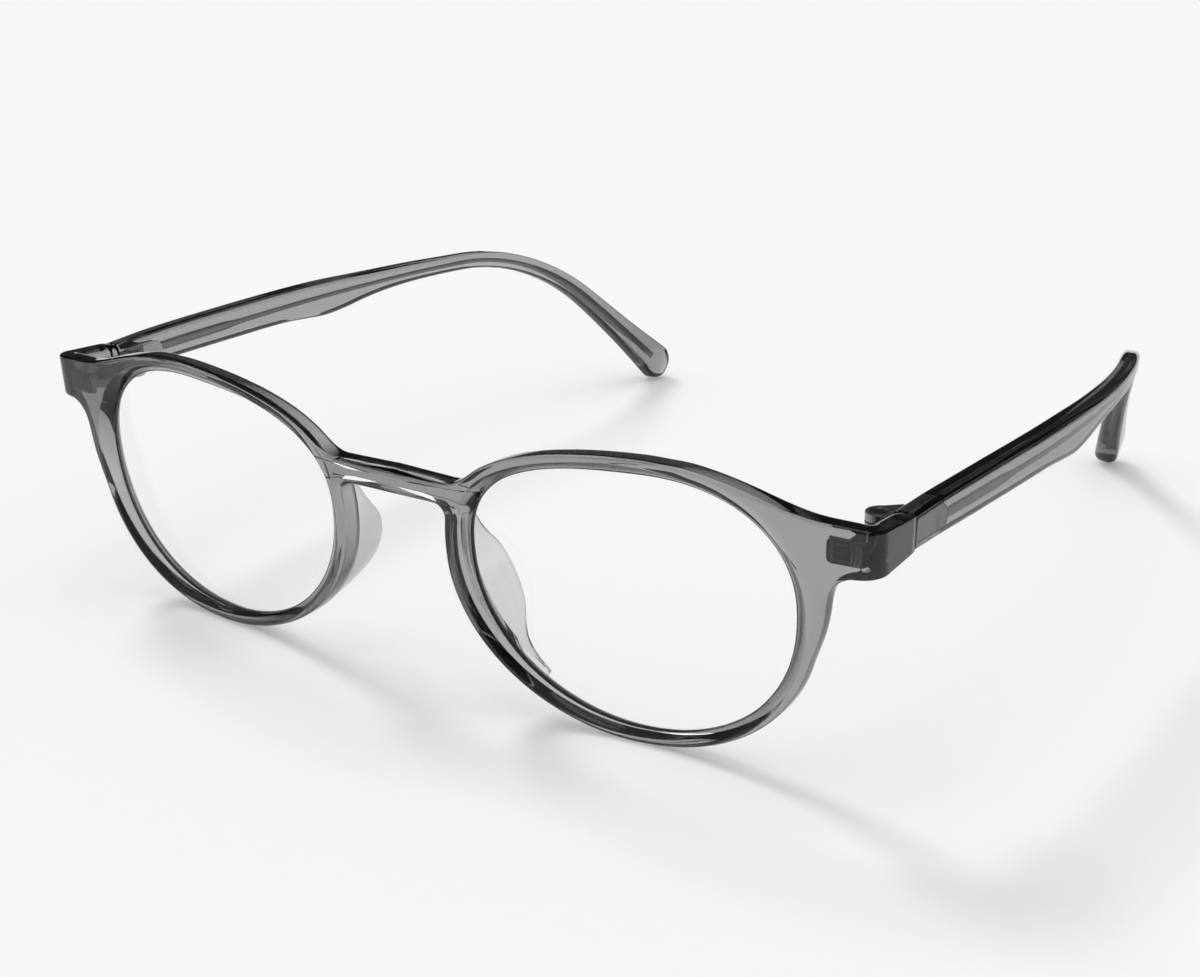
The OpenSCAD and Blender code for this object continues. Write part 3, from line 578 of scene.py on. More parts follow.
lens_shrinks = list(np.linspace(0.04, 1, 22))
lens_rings = [lens_ring(LENS_PLAY, s, -LENS_T / 2) for s in lens_shrinks]
lens_rings += [lens_ring(LENS_PLAY, 1, -V_HALF), lens_ring(V_REACH, 1, 0), lens_ring(LENS_PLAY, 1, V_HALF)]
lens_rings += [lens_ring(LENS_PLAY, s, LENS_T / 2) for s in lens_shrinks[::-1]]
first_edge = 1 + len(lens_shrinks) * LENS_SIDES
lenses = []
for side in ("left", "right"):
    lens = skin("clear_lens_" + side, lens_rings, "front", 25, side == "right")
    for polygon in lens.data.polygons[first_edge:first_edge + 2 * LENS_SIDES]:
        polygon.material_index = 1
    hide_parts("lens_" + side)
    lenses.append(lens)
print("lens width, mm:", round(float(np.ptp(np.array(lens_rings)[..., 0])), 2))

# %% [markdown]
# ## Nose pads
# The pads are thin crescents of paler acetate, glued to the nose side of each rim and leaning towards the
# lenses. A cross-section is swept along the rim, and its height follows a smooth hump.

# %% Pad skins
PAD_FROM, PAD_TO, PAD_REACH, PAD_LEAN, PAD_T, PAD_SEAT = 170, 228, 7.0, 0.11, 1.9, 0.02
PAD_PROFILE = [[0, 0.06], [0.12, 0.39], [0.26, 0.83], [0.42, 1], [0.58, 0.88], [0.78, 0.31], [1, 0.04]]


def rim_place(t):
    r = lip_r(t) + rim_w(t)
    return np.array([CROWN_X + r * cosd(t), WIDEST_Z + r * sind(t)])


def pad_loop(u):
    t = mix(PAD_FROM, PAD_TO, u)
    p, step = rim_place(t), rim_place(t - 0.5) - rim_place(t + 0.5)
    n = unit(np.array([-step[1], step[0]]))
    bw, wall = float(back_w(t)), float(wall_d(t))
    bd = DEPTH_BACK - wall
    h = PAD_REACH * float(curve(PAD_PROFILE, u)) + DEPTH_BACK
    start = 0.27 * bw
    end, foot = start + PAD_T, wall + bd * 0.636
    mid, rise = start + PAD_T / 2, h - foot
    cs = [[start, foot + PAD_SEAT], [mid - PAD_T * 0.47, foot + rise * 0.45]]
    for a in np.linspace(-75, 75, 11):
        cs.append([mid + PAD_T * 0.42 * sind(a), h - rise * 0.22 * (1 - cosd(a))])
    cs += [[mid + PAD_T * 0.47, h - 0.5 * rise], [end, DEPTH_BACK + PAD_SEAT], [bw, DEPTH_BACK + PAD_SEAT]]
    for a in (60, 50):
        cs.append([bw * (1 - cosd(a)), wall + bd * sind(a) + PAD_SEAT])
    return np.array([face(p - n * (w + PAD_LEAN * max(d - DEPTH_BACK, 0)), d) for w, d in cs])


pad_rings = [pad_loop(u) for u in np.linspace(1, 0, 90)]
pads = []
for side in ("left", "right"):
    pad = skin("nose_pad_skin_" + side, pad_rings, "front", 50, side == "right")
    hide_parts("nose_pad_" + side)
    pads.append(pad)
print("pad reach, mm:", PAD_REACH)

# %% [markdown]
# ## Temples
# A temple is a bar whose middle line runs almost level, bends over the ear and goes on straight, down at 45
# degrees, to a tip that is higher, thicker and rounder than the leg, so that it doesn't press behind the
# ear. Its height changes along the way, and it curls in behind the head. A real one is cut flat and bent
# warm; here each section is placed along the bent line at once.

# %% Middle line of a temple
BEND_R, SHAFT_LEN, LEG_SLOPE, TIP_R, SHAFT_SLOPE = 40, 87, 45, 3.6, 0.98
BEND_LEN = BEND_R * math.radians(LEG_SLOPE - SHAFT_SLOPE)
BEND_Y = SEAM_Y + SHAFT_LEN * cosd(SHAFT_SLOPE)
BEND_Z = ARM_Z - SHAFT_LEN * sind(SHAFT_SLOPE)
LEG_Y = BEND_Y + BEND_R * (sind(LEG_SLOPE) - sind(SHAFT_SLOPE))
LEG_Z = BEND_Z - BEND_R * (cosd(SHAFT_SLOPE) - cosd(LEG_SLOPE))
PATH_LEN = SHAFT_LEN + BEND_LEN + (LEG_Z - TIP_R - 0.11) / sind(LEG_SLOPE)
CURL = [
    [0, 0], [20, 0.85], [47, 1.3], [70, -0.1], [85, -2.5], [97, -5.8], [110, -10.0], [124, -14.4],
    [148, -20.6],
]
END_UP = SEAM_HALF - 0.05
UP = [
    [0, END_UP], [9, 2.85], [24, 2.95], [43, 2.85], [51, 2.7], [61, 2.3], [73, 1.95], [86, 1.6],
    [103, 1.65], [118, 2.0], [130, 2.6], [141, TIP_R],
]
DOWN = [
    [0, SEAM_HALF], [9, 2.4], [28, 2.55], [40, 2.7], [46, 3.1], [51, 3.45], [56, 3.1], [61, 2.4],
    [67, 1.8], [75, 1.45], [86, 1.35], [103, 1.65], [118, 2.0], [130, 2.6], [141, TIP_R],
]
THIN = [[0, 0], [60, -0.1], [90, -0.4], [110, -0.2], [141, 0.8]]
SHAFT_ROUND, LEG_ROUND = 0.9, 1.5


def thick(s):
    return ARM_T + float(curve(THIN, s))


def path_slope(s):
    return SHAFT_SLOPE + (LEG_SLOPE - SHAFT_SLOPE) * min(max((s - SHAFT_LEN) / BEND_LEN, 0), 1)


def path_xyz(s):
    x = SEAM_X + float(curve(CURL, s)) - thick(s) / 2
    if s < SHAFT_LEN:
        return np.array([x, SEAM_Y + s * cosd(SHAFT_SLOPE), ARM_Z - s * sind(SHAFT_SLOPE)])
    if s < SHAFT_LEN + BEND_LEN:
        a = path_slope(s)
        y = BEND_Y + BEND_R * (sind(a) - sind(SHAFT_SLOPE))
        return np.array([x, y, BEND_Z - BEND_R * (cosd(SHAFT_SLOPE) - cosd(a))])
    d = s - SHAFT_LEN - BEND_LEN
    return np.array([x, LEG_Y + d * cosd(LEG_SLOPE), LEG_Z - d * sind(LEG_SLOPE)])


def place(s, wh):
    level = float(smooth(s / 6))
    a = path_slope(s) * level
    up = np.array([0, sind(a), cosd(a)])
    along = unit(path_xyz(s + 0.5) - path_xyz(s - 0.5))
    out = unit(mix(np.array([1.0, 0, 0]), np.cross(along, up), level))
    return path_xyz(s) + wh[:, :1] * out + wh[:, 1:] * up


print("temple length along its middle line, mm:", round(float(PATH_LEN), 1))

# %% Plan of the plate that is sunk in the temple
PLATE_HALF, PLATE_LONG, PLATE_DEEP, PLATE_LEAN = 1.75, 9.6, 1.75, 2.4


def plate_plan(grow):
    flat = np.linspace(0, PLATE_LONG - PLATE_HALF, 24)[:-1]
    end, r = np.linspace(-90, 90, 30), PLATE_HALF + grow
    return np.concatenate([
        np.stack([flat, 0 * flat - r], -1),
        np.stack([PLATE_LONG - PLATE_HALF + r * cosd(end), r * sind(end)], -1),
        np.stack([flat[::-1], 0 * flat + r], -1),
    ])


def laid(shell):
    """The plate's plan is drawn upright and then laid along the temple's inner face."""
    (u, v, w), lean = shell[0].T, PLATE_LEAN
    x, y = w * cosd(lean) + u * sind(lean), u * cosd(lean) - w * sind(lean)
    return np.column_stack([SEAM_X - ARM_T - 0.02 + x, SEAM_Y + 0.2 + y, HINGE_Z - 0.25 + v]), shell[1]


print("plate, mm:", [round(float(v), 2) for v in np.ptp(plate_plan(0), axis=0)])

# %% Temple skins
def bar(w, up, low, r, steps=8):
    """A rounded bar's section. A point just beyond each round keeps the flats flat when shaded."""
    pts = []
    for quarter, (sx, h) in enumerate(((1, up), (-1, up), (-1, low), (1, low))):
        sy = 1 if quarter < 2 else -1
        first = 90 * quarter
        round_ = np.linspace(first, first + 90, steps)
        ring = [(sx * (w - r) + r * cosd(a), sy * (h - r) + r * sind(a)) for a in round_]
        guard = 0.12
        before = (-sind(first) * -guard, cosd(first) * -guard)
        after = (-sind(first + 90) * guard, cosd(first + 90) * guard)
        pts.append((ring[0][0] + before[0], ring[0][1] + before[1]))
        pts += ring
        pts.append((ring[-1][0] + after[0], ring[-1][1] + after[1]))
    return np.array(pts)


def temple_ring(s, cap):
    grow = math.sqrt(max(1 - cap * cap, 0))
    w = thick(s) / 2 * mix(0.25, 1, grow)
    up, down = float(curve(UP, s)) * grow, float(curve(DOWN, s)) * grow
    bent = float(smooth((s - SHAFT_LEN) / BEND_LEN))
    corner = min(mix(SHAFT_ROUND, LEG_ROUND, bent), thick(s) / 2 * 0.75)
    r = min(corner * mix(0.2, 1, grow), 0.9 * min(up, down))
    return place(s, bar(w, up, down, r))


def temple_end(s, inset):
    c = bar(ARM_T / 2 - inset, END_UP - inset, SEAM_HALF - inset, SHAFT_ROUND)
    return np.stack([SEAM_X - ARM_T / 2 + c[:, 0], SEAM_Y + s + 0 * c[:, 0], ARM_Z + c[:, 1]], -1)


temple_rings = [temple_end(SEAM_GAP + on, inset) for on, inset in ((0, 0.12), (0.05, 0.04), (0.15, 0))]
temple_rings += [temple_ring(s, 0) for s in np.linspace(0.5, PATH_LEN, 240)]
caps = [math.sin(a) for a in np.linspace(0.08, 1.47, 16)]
temple_rings += [temple_ring(PATH_LEN + TIP_R * cap, cap) for cap in caps]
temple_rings = np.array(temple_rings)
temple_skin = (temple_rings.reshape(-1, 3), skin_faces(*temple_rings.shape[:2]))
plate_pocket = laid(prism(plate_plan(0.05), 0.06, PLATE_DEEP + 0.14, 0.08))
temples = []
for side in ("left", "right"):
    shells = [temple_skin, hollow(plate_pocket)]
    temple = gather("sidepiece_" + side, shells, side + "_temple", side == "right", 40)
    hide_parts("temple_" + side)
    temples.append(temple)
print("temple:", len(temples[0].data.vertices), "points")

# %% [markdown]
# ## Core wires
# Acetate is soft when warm, so a metal core is shot into each temple to hold its shape. It shows through
# the clear plastic: a flat strip behind the hinge that steps down to a thin wire and widens again in the
# leg. It follows the temple's own middle line, so the two can't part.

# %% Core wire skins
WIRE_FROM, WIRE_TO = 10.0, float(PATH_LEN) - 1.6
WIRE_H = [[9, 1.45], [25, 1.45], [30, 0.85], [100, 0.8], [116, 1.2], [150, 1.3]]
WIRE_W = [[9, 1.0], [25, 1.0], [32, 0.8], [150, 0.8]]
wire_rings = []
for s in np.linspace(WIRE_FROM, WIRE_TO, 170):
    w, h = float(curve(WIRE_W, s)) / 2, float(curve(WIRE_H, s)) / 2
    c, d = cosd(np.arange(24) * 15 + 7.5), sind(np.arange(24) * 15 + 7.5)
    oval = np.stack([w * np.sign(c) * abs(c) ** 0.5, h * np.sign(d) * abs(d) ** 0.5], -1)
    wire_rings.append(place(s, oval))
wires = []
for side in ("left", "right"):
    wire = skin("temple_core_" + side, wire_rings, side + "_temple", 40, side == "right")
    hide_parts("core_wire_" + side)
    wires.append(wire)
print("wire length, mm:", round(WIRE_TO - WIRE_FROM, 1))

# %% [markdown]
# ## Hinges
# Both leaves are cast in nickel silver and polished. The front leaf's anchor is pressed warm into the back of
# the endpiece, so it has ribs that the plastic flows round. The temple leaf lies in the temple's inner face
# and ends in a half round. Most edges have a small chamfer, because sharp metal would catch the hair. The
# screw turns with the temple, so the front leaf's eye has a little play round it.

# %% Anchor with ribs
def anchor_shell(columns=60, rows=34, nose=0.9, rib=0.13):
    """A block whose hidden face has lengthwise ribs, then three upright ones beside the corner."""
    loops, half_h, mid_z = [], (ANCHOR_HIGH - ANCHOR_LOW) / 2, (ANCHOR_HIGH + ANCHOR_LOW) / 2
    for x in np.linspace(ANCHOR_IN + 0.02, ANCHOR_OUT, columns):
        u = np.clip((x - ANCHOR_IN) / nose, 0, 1)
        grow = math.sqrt(1 - (1 - u) ** 2)
        v = np.linspace(-1, 1, rows)
        z = mid_z + half_h * mix(0.72, 1, grow) * v
        upright = smooth((x - ANCHOR_OUT + 1.5) / 0.2)
        lengthwise = float(smooth((x - ANCHOR_IN - nose) / 0.15)) * (1 - upright)
        wave = lengthwise * (0.5 + 0.5 * cosd(v * 360 * 4.5))
        wave = wave + upright * (0.5 + 0.5 * cosd((x - ANCHOR_OUT + 0.3 * v * v) * 360 / 0.5))
        edge = 0.22 * np.maximum(abs(v) - 0.86, 0) / 0.14
        y = ANCHOR_Y + 0.5 * (1 - grow) + rib * wave + edge
        x_row, back = np.full(rows, x), np.full(rows, ANCHOR_Y + ANCHOR_SUNK)
        sides = [np.column_stack([x_row, y, z]), np.column_stack([x_row, back, z[::-1]])]
        loops.append(np.concatenate(sides))
    loops = np.array(loops)
    return loops.reshape(-1, 3), skin_faces(columns, 2 * rows)


def front_leaf_shells():
    low, high = HINGE_Z - MID_HALF, HINGE_Z + MID_HALF
    ring = collar(circle * KNUCKLE_R, SCREW_R + EYE_PLAY, low, high)
    arm = prism(box_plan(ARM_IN, ARM_OUT, ANCHOR_Y + 1, PIN_Y), low, high)
    post = prism(box_plan(ARM_IN, ARM_OUT, ANCHOR_Y + 1, PIN_Y - KNUCKLE_R - 0.9), ANCHOR_LOW, ANCHOR_HIGH)
    pad_plan = box_plan(ANCHOR_IN, SEAM_X - ARM_T - 0.1, ANCHOR_Y + 1.3, ANCHOR_Y + 1.7)
    pad = prism(pad_plan, ANCHOR_LOW, ANCHOR_HIGH)
    return [anchor_shell(), at_pin(ring), arm, post, pad]


print("shells in a front leaf:", len(front_leaf_shells()))

# %% Temple leaf with two knuckles and a sunk plate
WEB_Y0, WEB_Y1, WALL_X = 0.4, 3.75, SEAM_X - ARM_T - PIN_X


def web_d(x, y):
    """Distance to the web between knuckles and plate, about the pin. Two of its sides are slanted."""
    upper = (-2.25 * (x + 0.9) + 2.3 * (y - 1.5)) / 3.217
    lower = (-1.1 * (x - 1.5) - 2.4 * (y - WEB_Y0)) / 2.64
    return np.maximum.reduce([upper, lower, x - WALL_X + 0.03, y - WEB_Y1, WEB_Y0 - y])


def knuckle_plan():
    r = halve(
        lambda m: fillet_min(m - KNUCKLE_R, web_d(m * cosd(round_a), m * sind(round_a)), 0.5) < 0,
        0 * round_a + 0.5, 0 * round_a + 6.0,
    )
    return circle * r[:, None]


def web_plan(x_end, clear):
    arc = np.linspace(math.degrees(math.atan2(WEB_Y0, clear)), 106.8, 14)
    hollowed = clear * np.stack([cosd(arc), sind(arc)], -1)[::-1]
    return np.concatenate([[(x_end, WEB_Y0), (x_end, WEB_Y1), (1.4, WEB_Y1)], hollowed])


def plate_shells():
    shells, round_at = [prism(plate_plan(0), 0, PLATE_DEEP, 0.12)], PLATE_LONG - PLATE_HALF
    lid = collar(circle * 0.55, 0.28, -0.03, 0.3, 0.06)
    shells.append((lid[0] + (round_at, 0, 0), lid[1]))
    for k in range(7):
        z = (k - 3) * 0.42
        reach = math.sqrt(PLATE_HALF**2 - z * z) - 0.25
        plan = box_plan(round_at - 1.0, round_at + reach, z - 0.09, z + 0.09)
        shells.append(prism(plan, PLATE_DEEP - 0.1, PLATE_DEEP + 0.09, 0.05))
    return [laid(s) for s in shells]


def temple_leaf_shells():
    knuckle, low, high = knuckle_plan(), HINGE_Z - KNUCKLE_HALF, HINGE_Z + KNUCKLE_HALF
    upper = collar(knuckle, HEAD_R + 0.05, HINGE_Z + MID_HALF + LEAF_GAP, high)
    lower = collar(knuckle, SCREW_R, low, HINGE_Z - MID_HALF - LEAF_GAP)
    web = prism(web_plan(WALL_X - 0.03, KNUCKLE_R + 0.12), low + 0.1, high - 0.1, 0.04)
    foot = prism(box_plan(WALL_X - 0.4, WALL_X + 0.3, WEB_Y0, WEB_Y1), low, HINGE_Z + FOOT_UP)
    return [at_pin(s) for s in (upper, lower, web, foot)] + plate_shells()


print("shells in a temple leaf:", len(temple_leaf_shells()))

# %% Screws with a slotted head
def half_disc(r, gap, sign):
    first = math.degrees(math.asin(gap / r))
    a = np.linspace(first, 180 - first, 28) + (0 if sign > 0 else 180)
    return np.stack([r * cosd(a), r * sind(a)], -1)


def screw_shells():
    top, slot_deep, slot_half = HINGE_Z + KNUCKLE_HALF - 0.1, 0.3, 0.15
    shells = [
        prism(circle * SCREW_R, HINGE_Z - KNUCKLE_HALF, HEAD_Z, 0.08),
        prism(circle * HEAD_R, HEAD_Z, top - slot_deep, 0.03),
    ]
    shells += [prism(half_disc(HEAD_R, slot_half, s), top - slot_deep - 0.05, top, 0.06) for s in (1, -1)]
    return [at_pin(s) for s in shells]


hinges, screws = [], []
for side in ("left", "right"):
    arm_body, away = side + "_temple", side == "right"
    for name, shells, body in (
        ("front_leaf_", front_leaf_shells(), "front"),
        ("temple_leaf_", temple_leaf_shells(), arm_body),
        ("screw_", screw_shells(), arm_body),
    ):
        part = gather("polished_" + name + side, shells, body, away)
        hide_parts("hinge_" + name + side)
        "screw_metal" if name == "screw_" else "hinge_metal"
        (screws if name == "screw_" else hinges).append(part)
print("hinge pieces:", len(hinges) + len(screws))

# %% [markdown]
# ## Writing materials as sums
# A node tree is easier to read as arithmetic. One small class wraps a socket, so that
# `0.015 + 0.03 * drift * grain` adds its Math nodes by itself, and one method adds any other node.

# %% Socket arithmetic
class Value:
    def __init__(self, tree, socket):
        self.tree, self.socket = tree, socket

    def maths(self, operation, *others):
        return self.tree.add("ShaderNodeMath", {"operation": operation}, dict(enumerate(others)))

    def __add__(self, o):
        return self.maths("ADD", self, o)

    def __sub__(self, o):
        return self.maths("SUBTRACT", self, o)

    def __rsub__(self, o):
        return self.maths("SUBTRACT", o, self)

    def __mul__(self, o):
        return self.maths("MULTIPLY", self, o)

    def __pow__(self, o):
        return self.maths("POWER", self, o)

    def __rpow__(self, o):
        return self.maths("POWER", o, self)

    def __gt__(self, o):
        return self.maths("GREATER_THAN", self, o)

    def __lt__(self, o):
        return self.maths("LESS_THAN", self, o)

    def or_(self, o):
        return self.maths("MAXIMUM", self, o)

    __radd__, __rmul__ = __add__, __mul__


class Finish:
    """The node tree of one material, or of the world."""

    def __init__(self, name, owner=None):
        self.owner = owner or bpy.data.materials.new(name)
        self.owner.use_nodes = True
        self.nodes, self.links = self.owner.node_tree.nodes, self.owner.node_tree.links
        self.nodes.clear()

    def add(self, kind, settings=None, sockets=None, out=0):
        node = self.nodes.new(kind)
        for key, value in (settings or {}).items():
            if key == "stops":
                while len(node.color_ramp.elements) < len(value):
                    node.color_ramp.elements.new(0.5)
                for element, (position, colour) in zip(node.color_ramp.elements, value):
                    element.position, element.color = position, (*colour, 1)
            else:
                setattr(node, key, value)
        for key, value in (sockets or {}).items():
            if isinstance(value, Value):
                self.links.new(value.socket, node.inputs[key])
            else:
                node.inputs[key].default_value = value
        return Value(self, node.outputs[out]) if node.outputs else node


def grey(v):
    return (v, v, v, 1.0)


def clear_piece(f, shell, dimming, volume=None):
    """Shadows and soft light go straight through a clear piece; every other ray meets its shell."""
    through = f.add("ShaderNodeBsdfTransparent", {}, {"Color": grey(dimming)})
    shadow = f.add("ShaderNodeLightPath", out="Is Shadow Ray")
    soft = f.add("ShaderNodeLightPath", out="Is Diffuse Ray")
    surface = f.add("ShaderNodeMixShader", {}, {0: shadow.or_(soft), 1: shell, 2: through})
    inside = {} if volume is None else {"Volume": volume}
    f.add("ShaderNodeOutputMaterial", {}, {"Surface": surface, **inside})


print("a mid grey:", grey(0.5))

# %% [markdown]
# ## Clear grey acetate
# Seen flat on, the plastic is a mid grey; seen along, it is nearly black. Most of that is absorption, so
# the grey sits in the volume, and the surface is polished plastic with an index of 1.49. The rest is painted
# shade: the base colour, which tints the light let through, darkens the more a surface is seen edge-on,
# which paints in the dark edge lines. Shadows and soft light go straight through, dimmed a little at each
# surface and by the same volume.

# %% Acetate finishes
def acetate(name, density, tint, painted_shade_from, painted_shade_gain):
    f = Finish(name)
    spot = f.add("ShaderNodeTexCoord", out="Object")
    drift = f.add("ShaderNodeTexNoise", {}, {"Vector": spot, "Scale": 140.0, "Detail": 3.0}, "Fac")
    grain = f.add("ShaderNodeTexNoise", {}, {"Vector": spot, "Scale": 2600.0, "Detail": 2.0}, "Fac")
    rough = 0.015 + 0.03 * drift * grain
    waves = f.add("ShaderNodeBump", {}, {"Strength": 0.05, "Distance": 0.0002, "Height": drift})
    # Painted shade: the base colour below turns from near white to near black as a face is seen more edge-on,
    # drawing the dark edge lines.
    painted_edge_shade = (f.add("ShaderNodeLayerWeight", {}, {"Blend": 0.5}, "Facing") - painted_shade_from) * painted_shade_gain
    # A Mix node of colours has them in its sockets 6 and 7 and gives the result at output 2.
    colour = f.add("ShaderNodeMix", {"data_type": "RGBA"}, {0: painted_edge_shade, 6: grey(0.97), 7: grey(0.01)}, 2)
    shell = f.add(
        "ShaderNodeBsdfPrincipled", {},
        {"Base Color": colour, "Roughness": rough, "IOR": 1.49, "Transmission Weight": 1.0, "Normal": waves},
    )
    body = f.add("ShaderNodeVolumeAbsorption", {}, {"Color": (*tint, 1), "Density": density})
    clear_piece(f, shell, 0.93, body)
    return f.owner


def dress(group, finish):
    for o in group:
        o.data.materials.append(finish)


FRAME_DENSITY, FRAME_TINT = 370.0, (0.30, 0.305, 0.32)
PAD_DENSITY, PAD_TINT = 230.0, (0.45, 0.455, 0.465)
dress([front], acetate("front_acetate", FRAME_DENSITY, FRAME_TINT, painted_shade_from=0.27, painted_shade_gain=3.0))
dress(temples, acetate("temple_acetate", FRAME_DENSITY, FRAME_TINT, painted_shade_from=0.55, painted_shade_gain=3.0))
dress(pads, acetate("pad_acetate", PAD_DENSITY, PAD_TINT, painted_shade_from=0.28, painted_shade_gain=1.4))
print("acetate:", [o.data.materials[0].name for o in (front, temples[0], pads[0])])

# %% [markdown]
# ## Lens glass
# A demonstration lens is thin, nearly flat plastic, so one looks straight through it. A glass shader alone
# would make every ray behind it a bent one, and those meet the dark surroundings that the plastic needs, so
# the lens would show a dark block. So most of it is left transparent, and a little more of its surface
# shows the more it is seen at a glancing angle. The ground V edge is rough, and painted near black as
# shade, which draws the dark line round the lip.

# %% Lens finish
f = Finish("lens")
spot = f.add("ShaderNodeTexCoord", out="Object")
haze = f.add("ShaderNodeTexNoise", {}, {"Vector": spot, "Scale": 90.0, "Detail": 4.0}, "Fac")
glance = f.add("ShaderNodeLayerWeight", {}, {"Blend": 0.5}, "Facing")
look = {"Base Color": grey(1.0), "Roughness": 0.004 * haze, "Alpha": 0.04 + 0.2 * glance**4}
shell = f.add("ShaderNodeBsdfPrincipled", {}, {**look, "IOR": 1.1, "Transmission Weight": 1.0})
clear_piece(f, shell, 0.985)
dress(lenses, f.owner)
print("lens finish:", f.owner.name)

# %% Ground edge of the lens
f = Finish("ground_edge_painted_shade")
spot = f.add("ShaderNodeTexCoord", out="Object")
scratch = f.add("ShaderNodeTexNoise", {}, {"Vector": spot, "Scale": 1800.0, "Detail": 4.0}, "Fac")
# Painted shade: the ground edge is coloured near black so that it draws the dark line round the lens's lip;
# its roughness is its own.
stops = [(0.35, (0.035, 0.035, 0.036)), (0.65, (0.09, 0.09, 0.092))]
tone = f.add("ShaderNodeValToRGB", {"stops": stops}, {"Fac": scratch})
look = {"Base Color": tone, "Roughness": 0.35 + 0.25 * scratch, "IOR": 1.5}
matt = f.add("ShaderNodeBsdfPrincipled", {}, look)
f.add("ShaderNodeOutputMaterial", {}, {"Surface": matt})
dress(lenses, f.owner)
print("finishes on a lens:", len(lenses[0].data.materials))

# %% [markdown]
# ## Metal finishes
# The hinges are nickel silver with a soft shine, the screws bright steel and the core wires drawn steel.
# Drawing and polishing leave fine lines. They could come from an image, but a noise that is stretched along
# each piece gives them without unwrapping the mesh.

# %% Metals
def metal(name, tint, base, spread, along):
    f = Finish(name)
    spot = f.add("ShaderNodeTexCoord", out="Object")
    stretched = f.add("ShaderNodeMapping", {}, {"Vector": spot, "Scale": along})
    lines = f.add("ShaderNodeTexNoise", {}, {"Vector": stretched, "Scale": 900.0, "Detail": 3.0}, "Fac")
    stops = [(0.3, [c * 0.86 for c in tint]), (0.7, tint)]
    tone = f.add("ShaderNodeValToRGB", {"stops": stops}, {"Fac": lines})
    bump = f.add("ShaderNodeBump", {}, {"Strength": 0.15, "Distance": 0.0001, "Height": lines})
    polished = f.add(
        "ShaderNodeBsdfPrincipled", {},
        {"Base Color": tone, "Metallic": 1.0, "Roughness": base + spread * lines, "Normal": bump},
    )
    f.add("ShaderNodeOutputMaterial", {}, {"Surface": polished})
    return f.owner


dress(hinges, metal("hinge_metal", (0.38, 0.38, 0.385), base=0.34, spread=0.16, along=(1, 0.1, 1)))
dress(screws, metal("screw_metal", (0.5, 0.5, 0.5), base=0.12, spread=0.12, along=(1, 1, 0.2)))
dress(wires, metal("wire_metal", (0.42, 0.42, 0.42), base=0.3, spread=0.2, along=(1, 0.05, 1)))
print("metals:", [o.data.materials[0].name for o in (hinges[0], screws[0], wires[0])])

# %% [markdown]
# ## Floor, light and camera
# The glasses stand on white paper. The camera sees a pale backdrop, but every other ray meets dark
# surroundings that are lit only straight above and, for rays that bend in clear plastic, low down all round
# but towards the camera. For bent and mirrored rays the paper also ends 0.2 m from the glasses on the
# camera's side. A plain white room would be simpler, but this contrast draws the dark lines in the plastic.

# %% Floor
# The way from the glasses towards the camera, in plan.
VIEW_X, VIEW_Y = 0.55, -0.83
floor_mesh = bpy.data.meshes.new("paper")
PAPER_HALF, PAPER_BELOW, PAPER_NEAR = 6, 0.0002, 0.2
corners = [(x * PAPER_HALF, y * PAPER_HALF, 0) for x, y in ((-1, -1), (1, -1), (1, 1), (-1, 1))]
floor_mesh.from_pydata(corners, [], [(0, 1, 2, 3)])
floor = bpy.data.objects.new("paper", floor_mesh)
floor.location.z = -PAPER_BELOW
bpy.context.scene.collection.objects.link(floor)
f = Finish("paper_white")
spot = f.add("ShaderNodeTexCoord", out="Object")
fibre = f.add("ShaderNodeTexNoise", {}, {"Vector": spot, "Scale": 400.0}, "Fac")
stops = [(0.3, (0.925, 0.925, 0.925)), (0.7, (0.93, 0.93, 0.93))]
tone = f.add("ShaderNodeValToRGB", {"stops": stops}, {"Fac": fibre})
place_x = f.add("ShaderNodeSeparateXYZ", {}, {0: spot}, "X")
place_y = Value(f, place_x.socket.node.outputs["Y"])
past_edge = (place_x * VIEW_X + place_y * VIEW_Y) > PAPER_NEAR
glanced = f.add("ShaderNodeLightPath", out="Is Glossy Ray")
bent = f.add("ShaderNodeLightPath", out="Is Transmission Ray")
paper = f.add("ShaderNodeBsdfDiffuse", {}, {"Color": tone})
gloom = f.add("ShaderNodeEmission", {}, {"Color": grey(0.05)})
surface = f.add("ShaderNodeMixShader", {}, {0: past_edge * glanced.or_(bent), 1: paper, 2: gloom})
f.add("ShaderNodeOutputMaterial", {}, {"Surface": surface})
floor.data.materials.append(f.owner)
print("paper, m across:", 2 * PAPER_HALF)

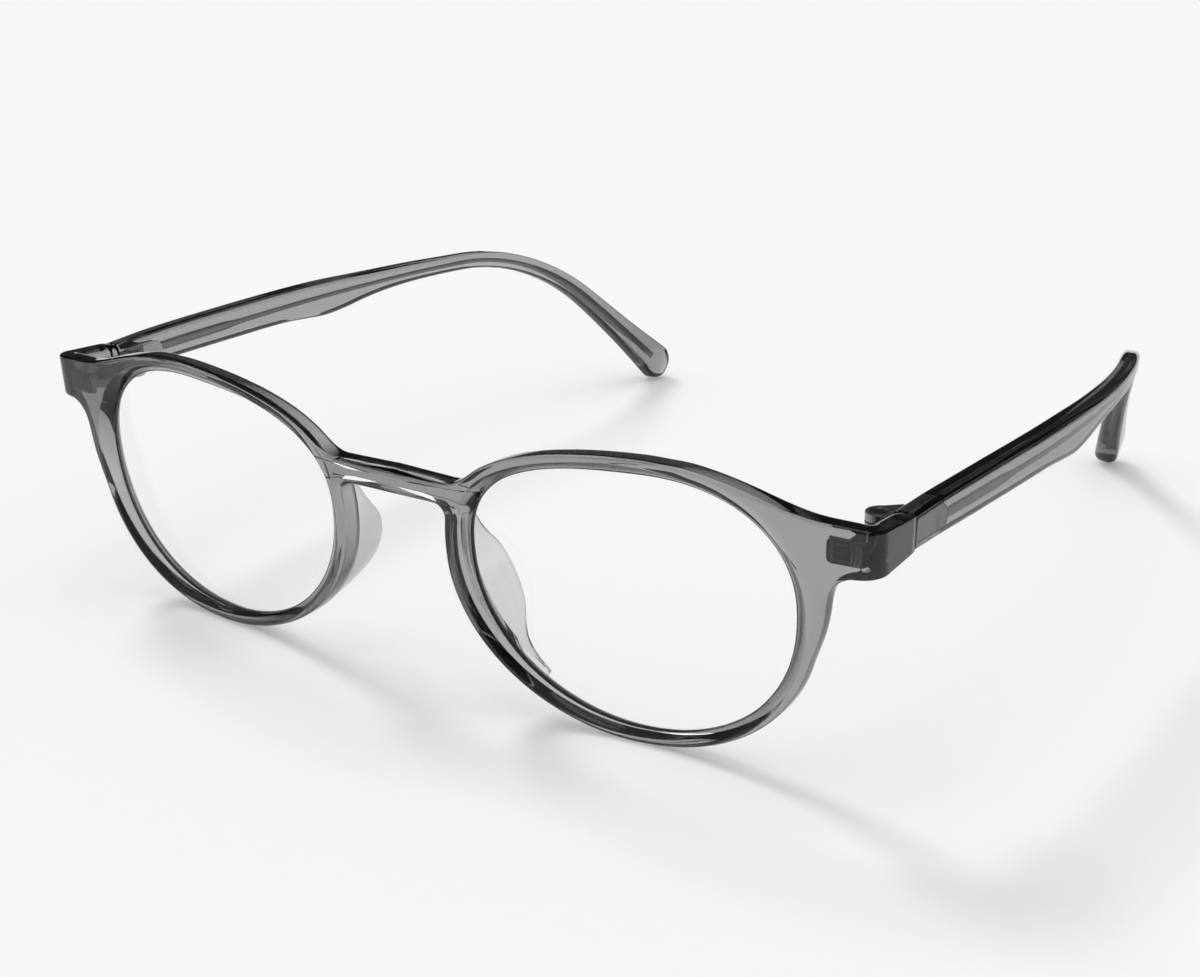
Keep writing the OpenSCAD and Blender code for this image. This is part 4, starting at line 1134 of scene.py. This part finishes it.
# %% World
world = bpy.data.worlds.new("tent")
bpy.context.scene.world = world
f = Finish("tent", world)
way = f.add("ShaderNodeTexCoord", out="Generated")
across_x = f.add("ShaderNodeSeparateXYZ", {}, {0: way}, "X")
deep_y = Value(f, across_x.socket.node.outputs["Y"])
high_z = Value(f, across_x.socket.node.outputs["Z"])
towards = across_x * VIEW_X + deep_y * VIEW_Y
ABOVE_FROM, ABOVE_SIDE, LOW_TO, LOW_SIDE = 0.93, 0.25, 0.15, 0.3
above = (high_z > ABOVE_FROM) * (across_x < ABOVE_SIDE)
level = (high_z < LOW_TO) * (towards < LOW_SIDE)
camera_ray = f.add("ShaderNodeLightPath", out="Is Camera Ray")
bent_ray = f.add("ShaderNodeLightPath", out="Is Transmission Ray")
tent, lit, dark = (
    f.add("ShaderNodeBackground", {}, {"Color": grey(v), "Strength": 1.0}) for v in (0.93, 1.0, 0.04)
)
seen = f.add("ShaderNodeMixShader", {}, {0: above.or_(level * bent_ray), 1: dark, 2: lit})
surface = f.add("ShaderNodeMixShader", {}, {0: camera_ray, 1: seen, 2: tent})
f.add("ShaderNodeOutputWorld", {}, {"Surface": surface})
print("world:", world.name)

# %% Lamps
def far_light(name, towards_it, strength, spread, shiny=True):
    lamp = bpy.data.lights.new(name, "SUN")
    lamp.energy, lamp.angle = strength, math.radians(spread)
    obj = bpy.data.objects.new(name, lamp)
    obj.rotation_mode = "QUATERNION"
    obj.rotation_quaternion = Vector(towards_it).to_track_quat("Z", "Y")
    obj.visible_glossy = obj.visible_transmission = shiny
    bpy.context.scene.collection.objects.link(obj)
    return obj


# The key makes the shadow, the glint is its faint mirror image in the plastic, and the fill is soft light
# from most of the sky.
KEY_WAY, KEY_SPREAD = (-0.75, 0.35, 0.8), 16
lamps = [
    far_light("key_light", KEY_WAY, 1.0, KEY_SPREAD, False),
    far_light("glint_light", KEY_WAY, 0.3, KEY_SPREAD),
    far_light("fill_light", (-0.1, 0.3, 1.0), 1.85, 150, False),
]
print("lamps:", len(lamps))

# %% Camera
CAMERA_AT = Vector((163.38, -198.87 - MID_Y, 121.25)) * MM
CAMERA_TO = Vector((31.35, -MID_Y, 34.33)) * MM
back = (CAMERA_AT - CAMERA_TO).normalized()
right = Vector((0, 0, 1)).cross(back).normalized()
up = back.cross(right)
roll = math.radians(-0.135)
right, up = right * math.cos(roll) + up * math.sin(roll), up * math.cos(roll) - right * math.sin(roll)
camera = bpy.data.objects.new("camera", bpy.data.cameras.new("camera"))
camera.data.sensor_width, camera.data.lens = 36.0, 60.04
camera.data.clip_start, camera.data.clip_end = 0.01, 20
camera.matrix_world = Matrix.Translation(CAMERA_AT) @ Matrix((right, up, back)).transposed().to_4x4()
bpy.context.scene.collection.objects.link(camera)
bpy.context.scene.camera = camera
bpy.context.scene.view_settings.view_transform = "Standard"
print("camera, mm:", [round(v / MM) for v in CAMERA_AT])
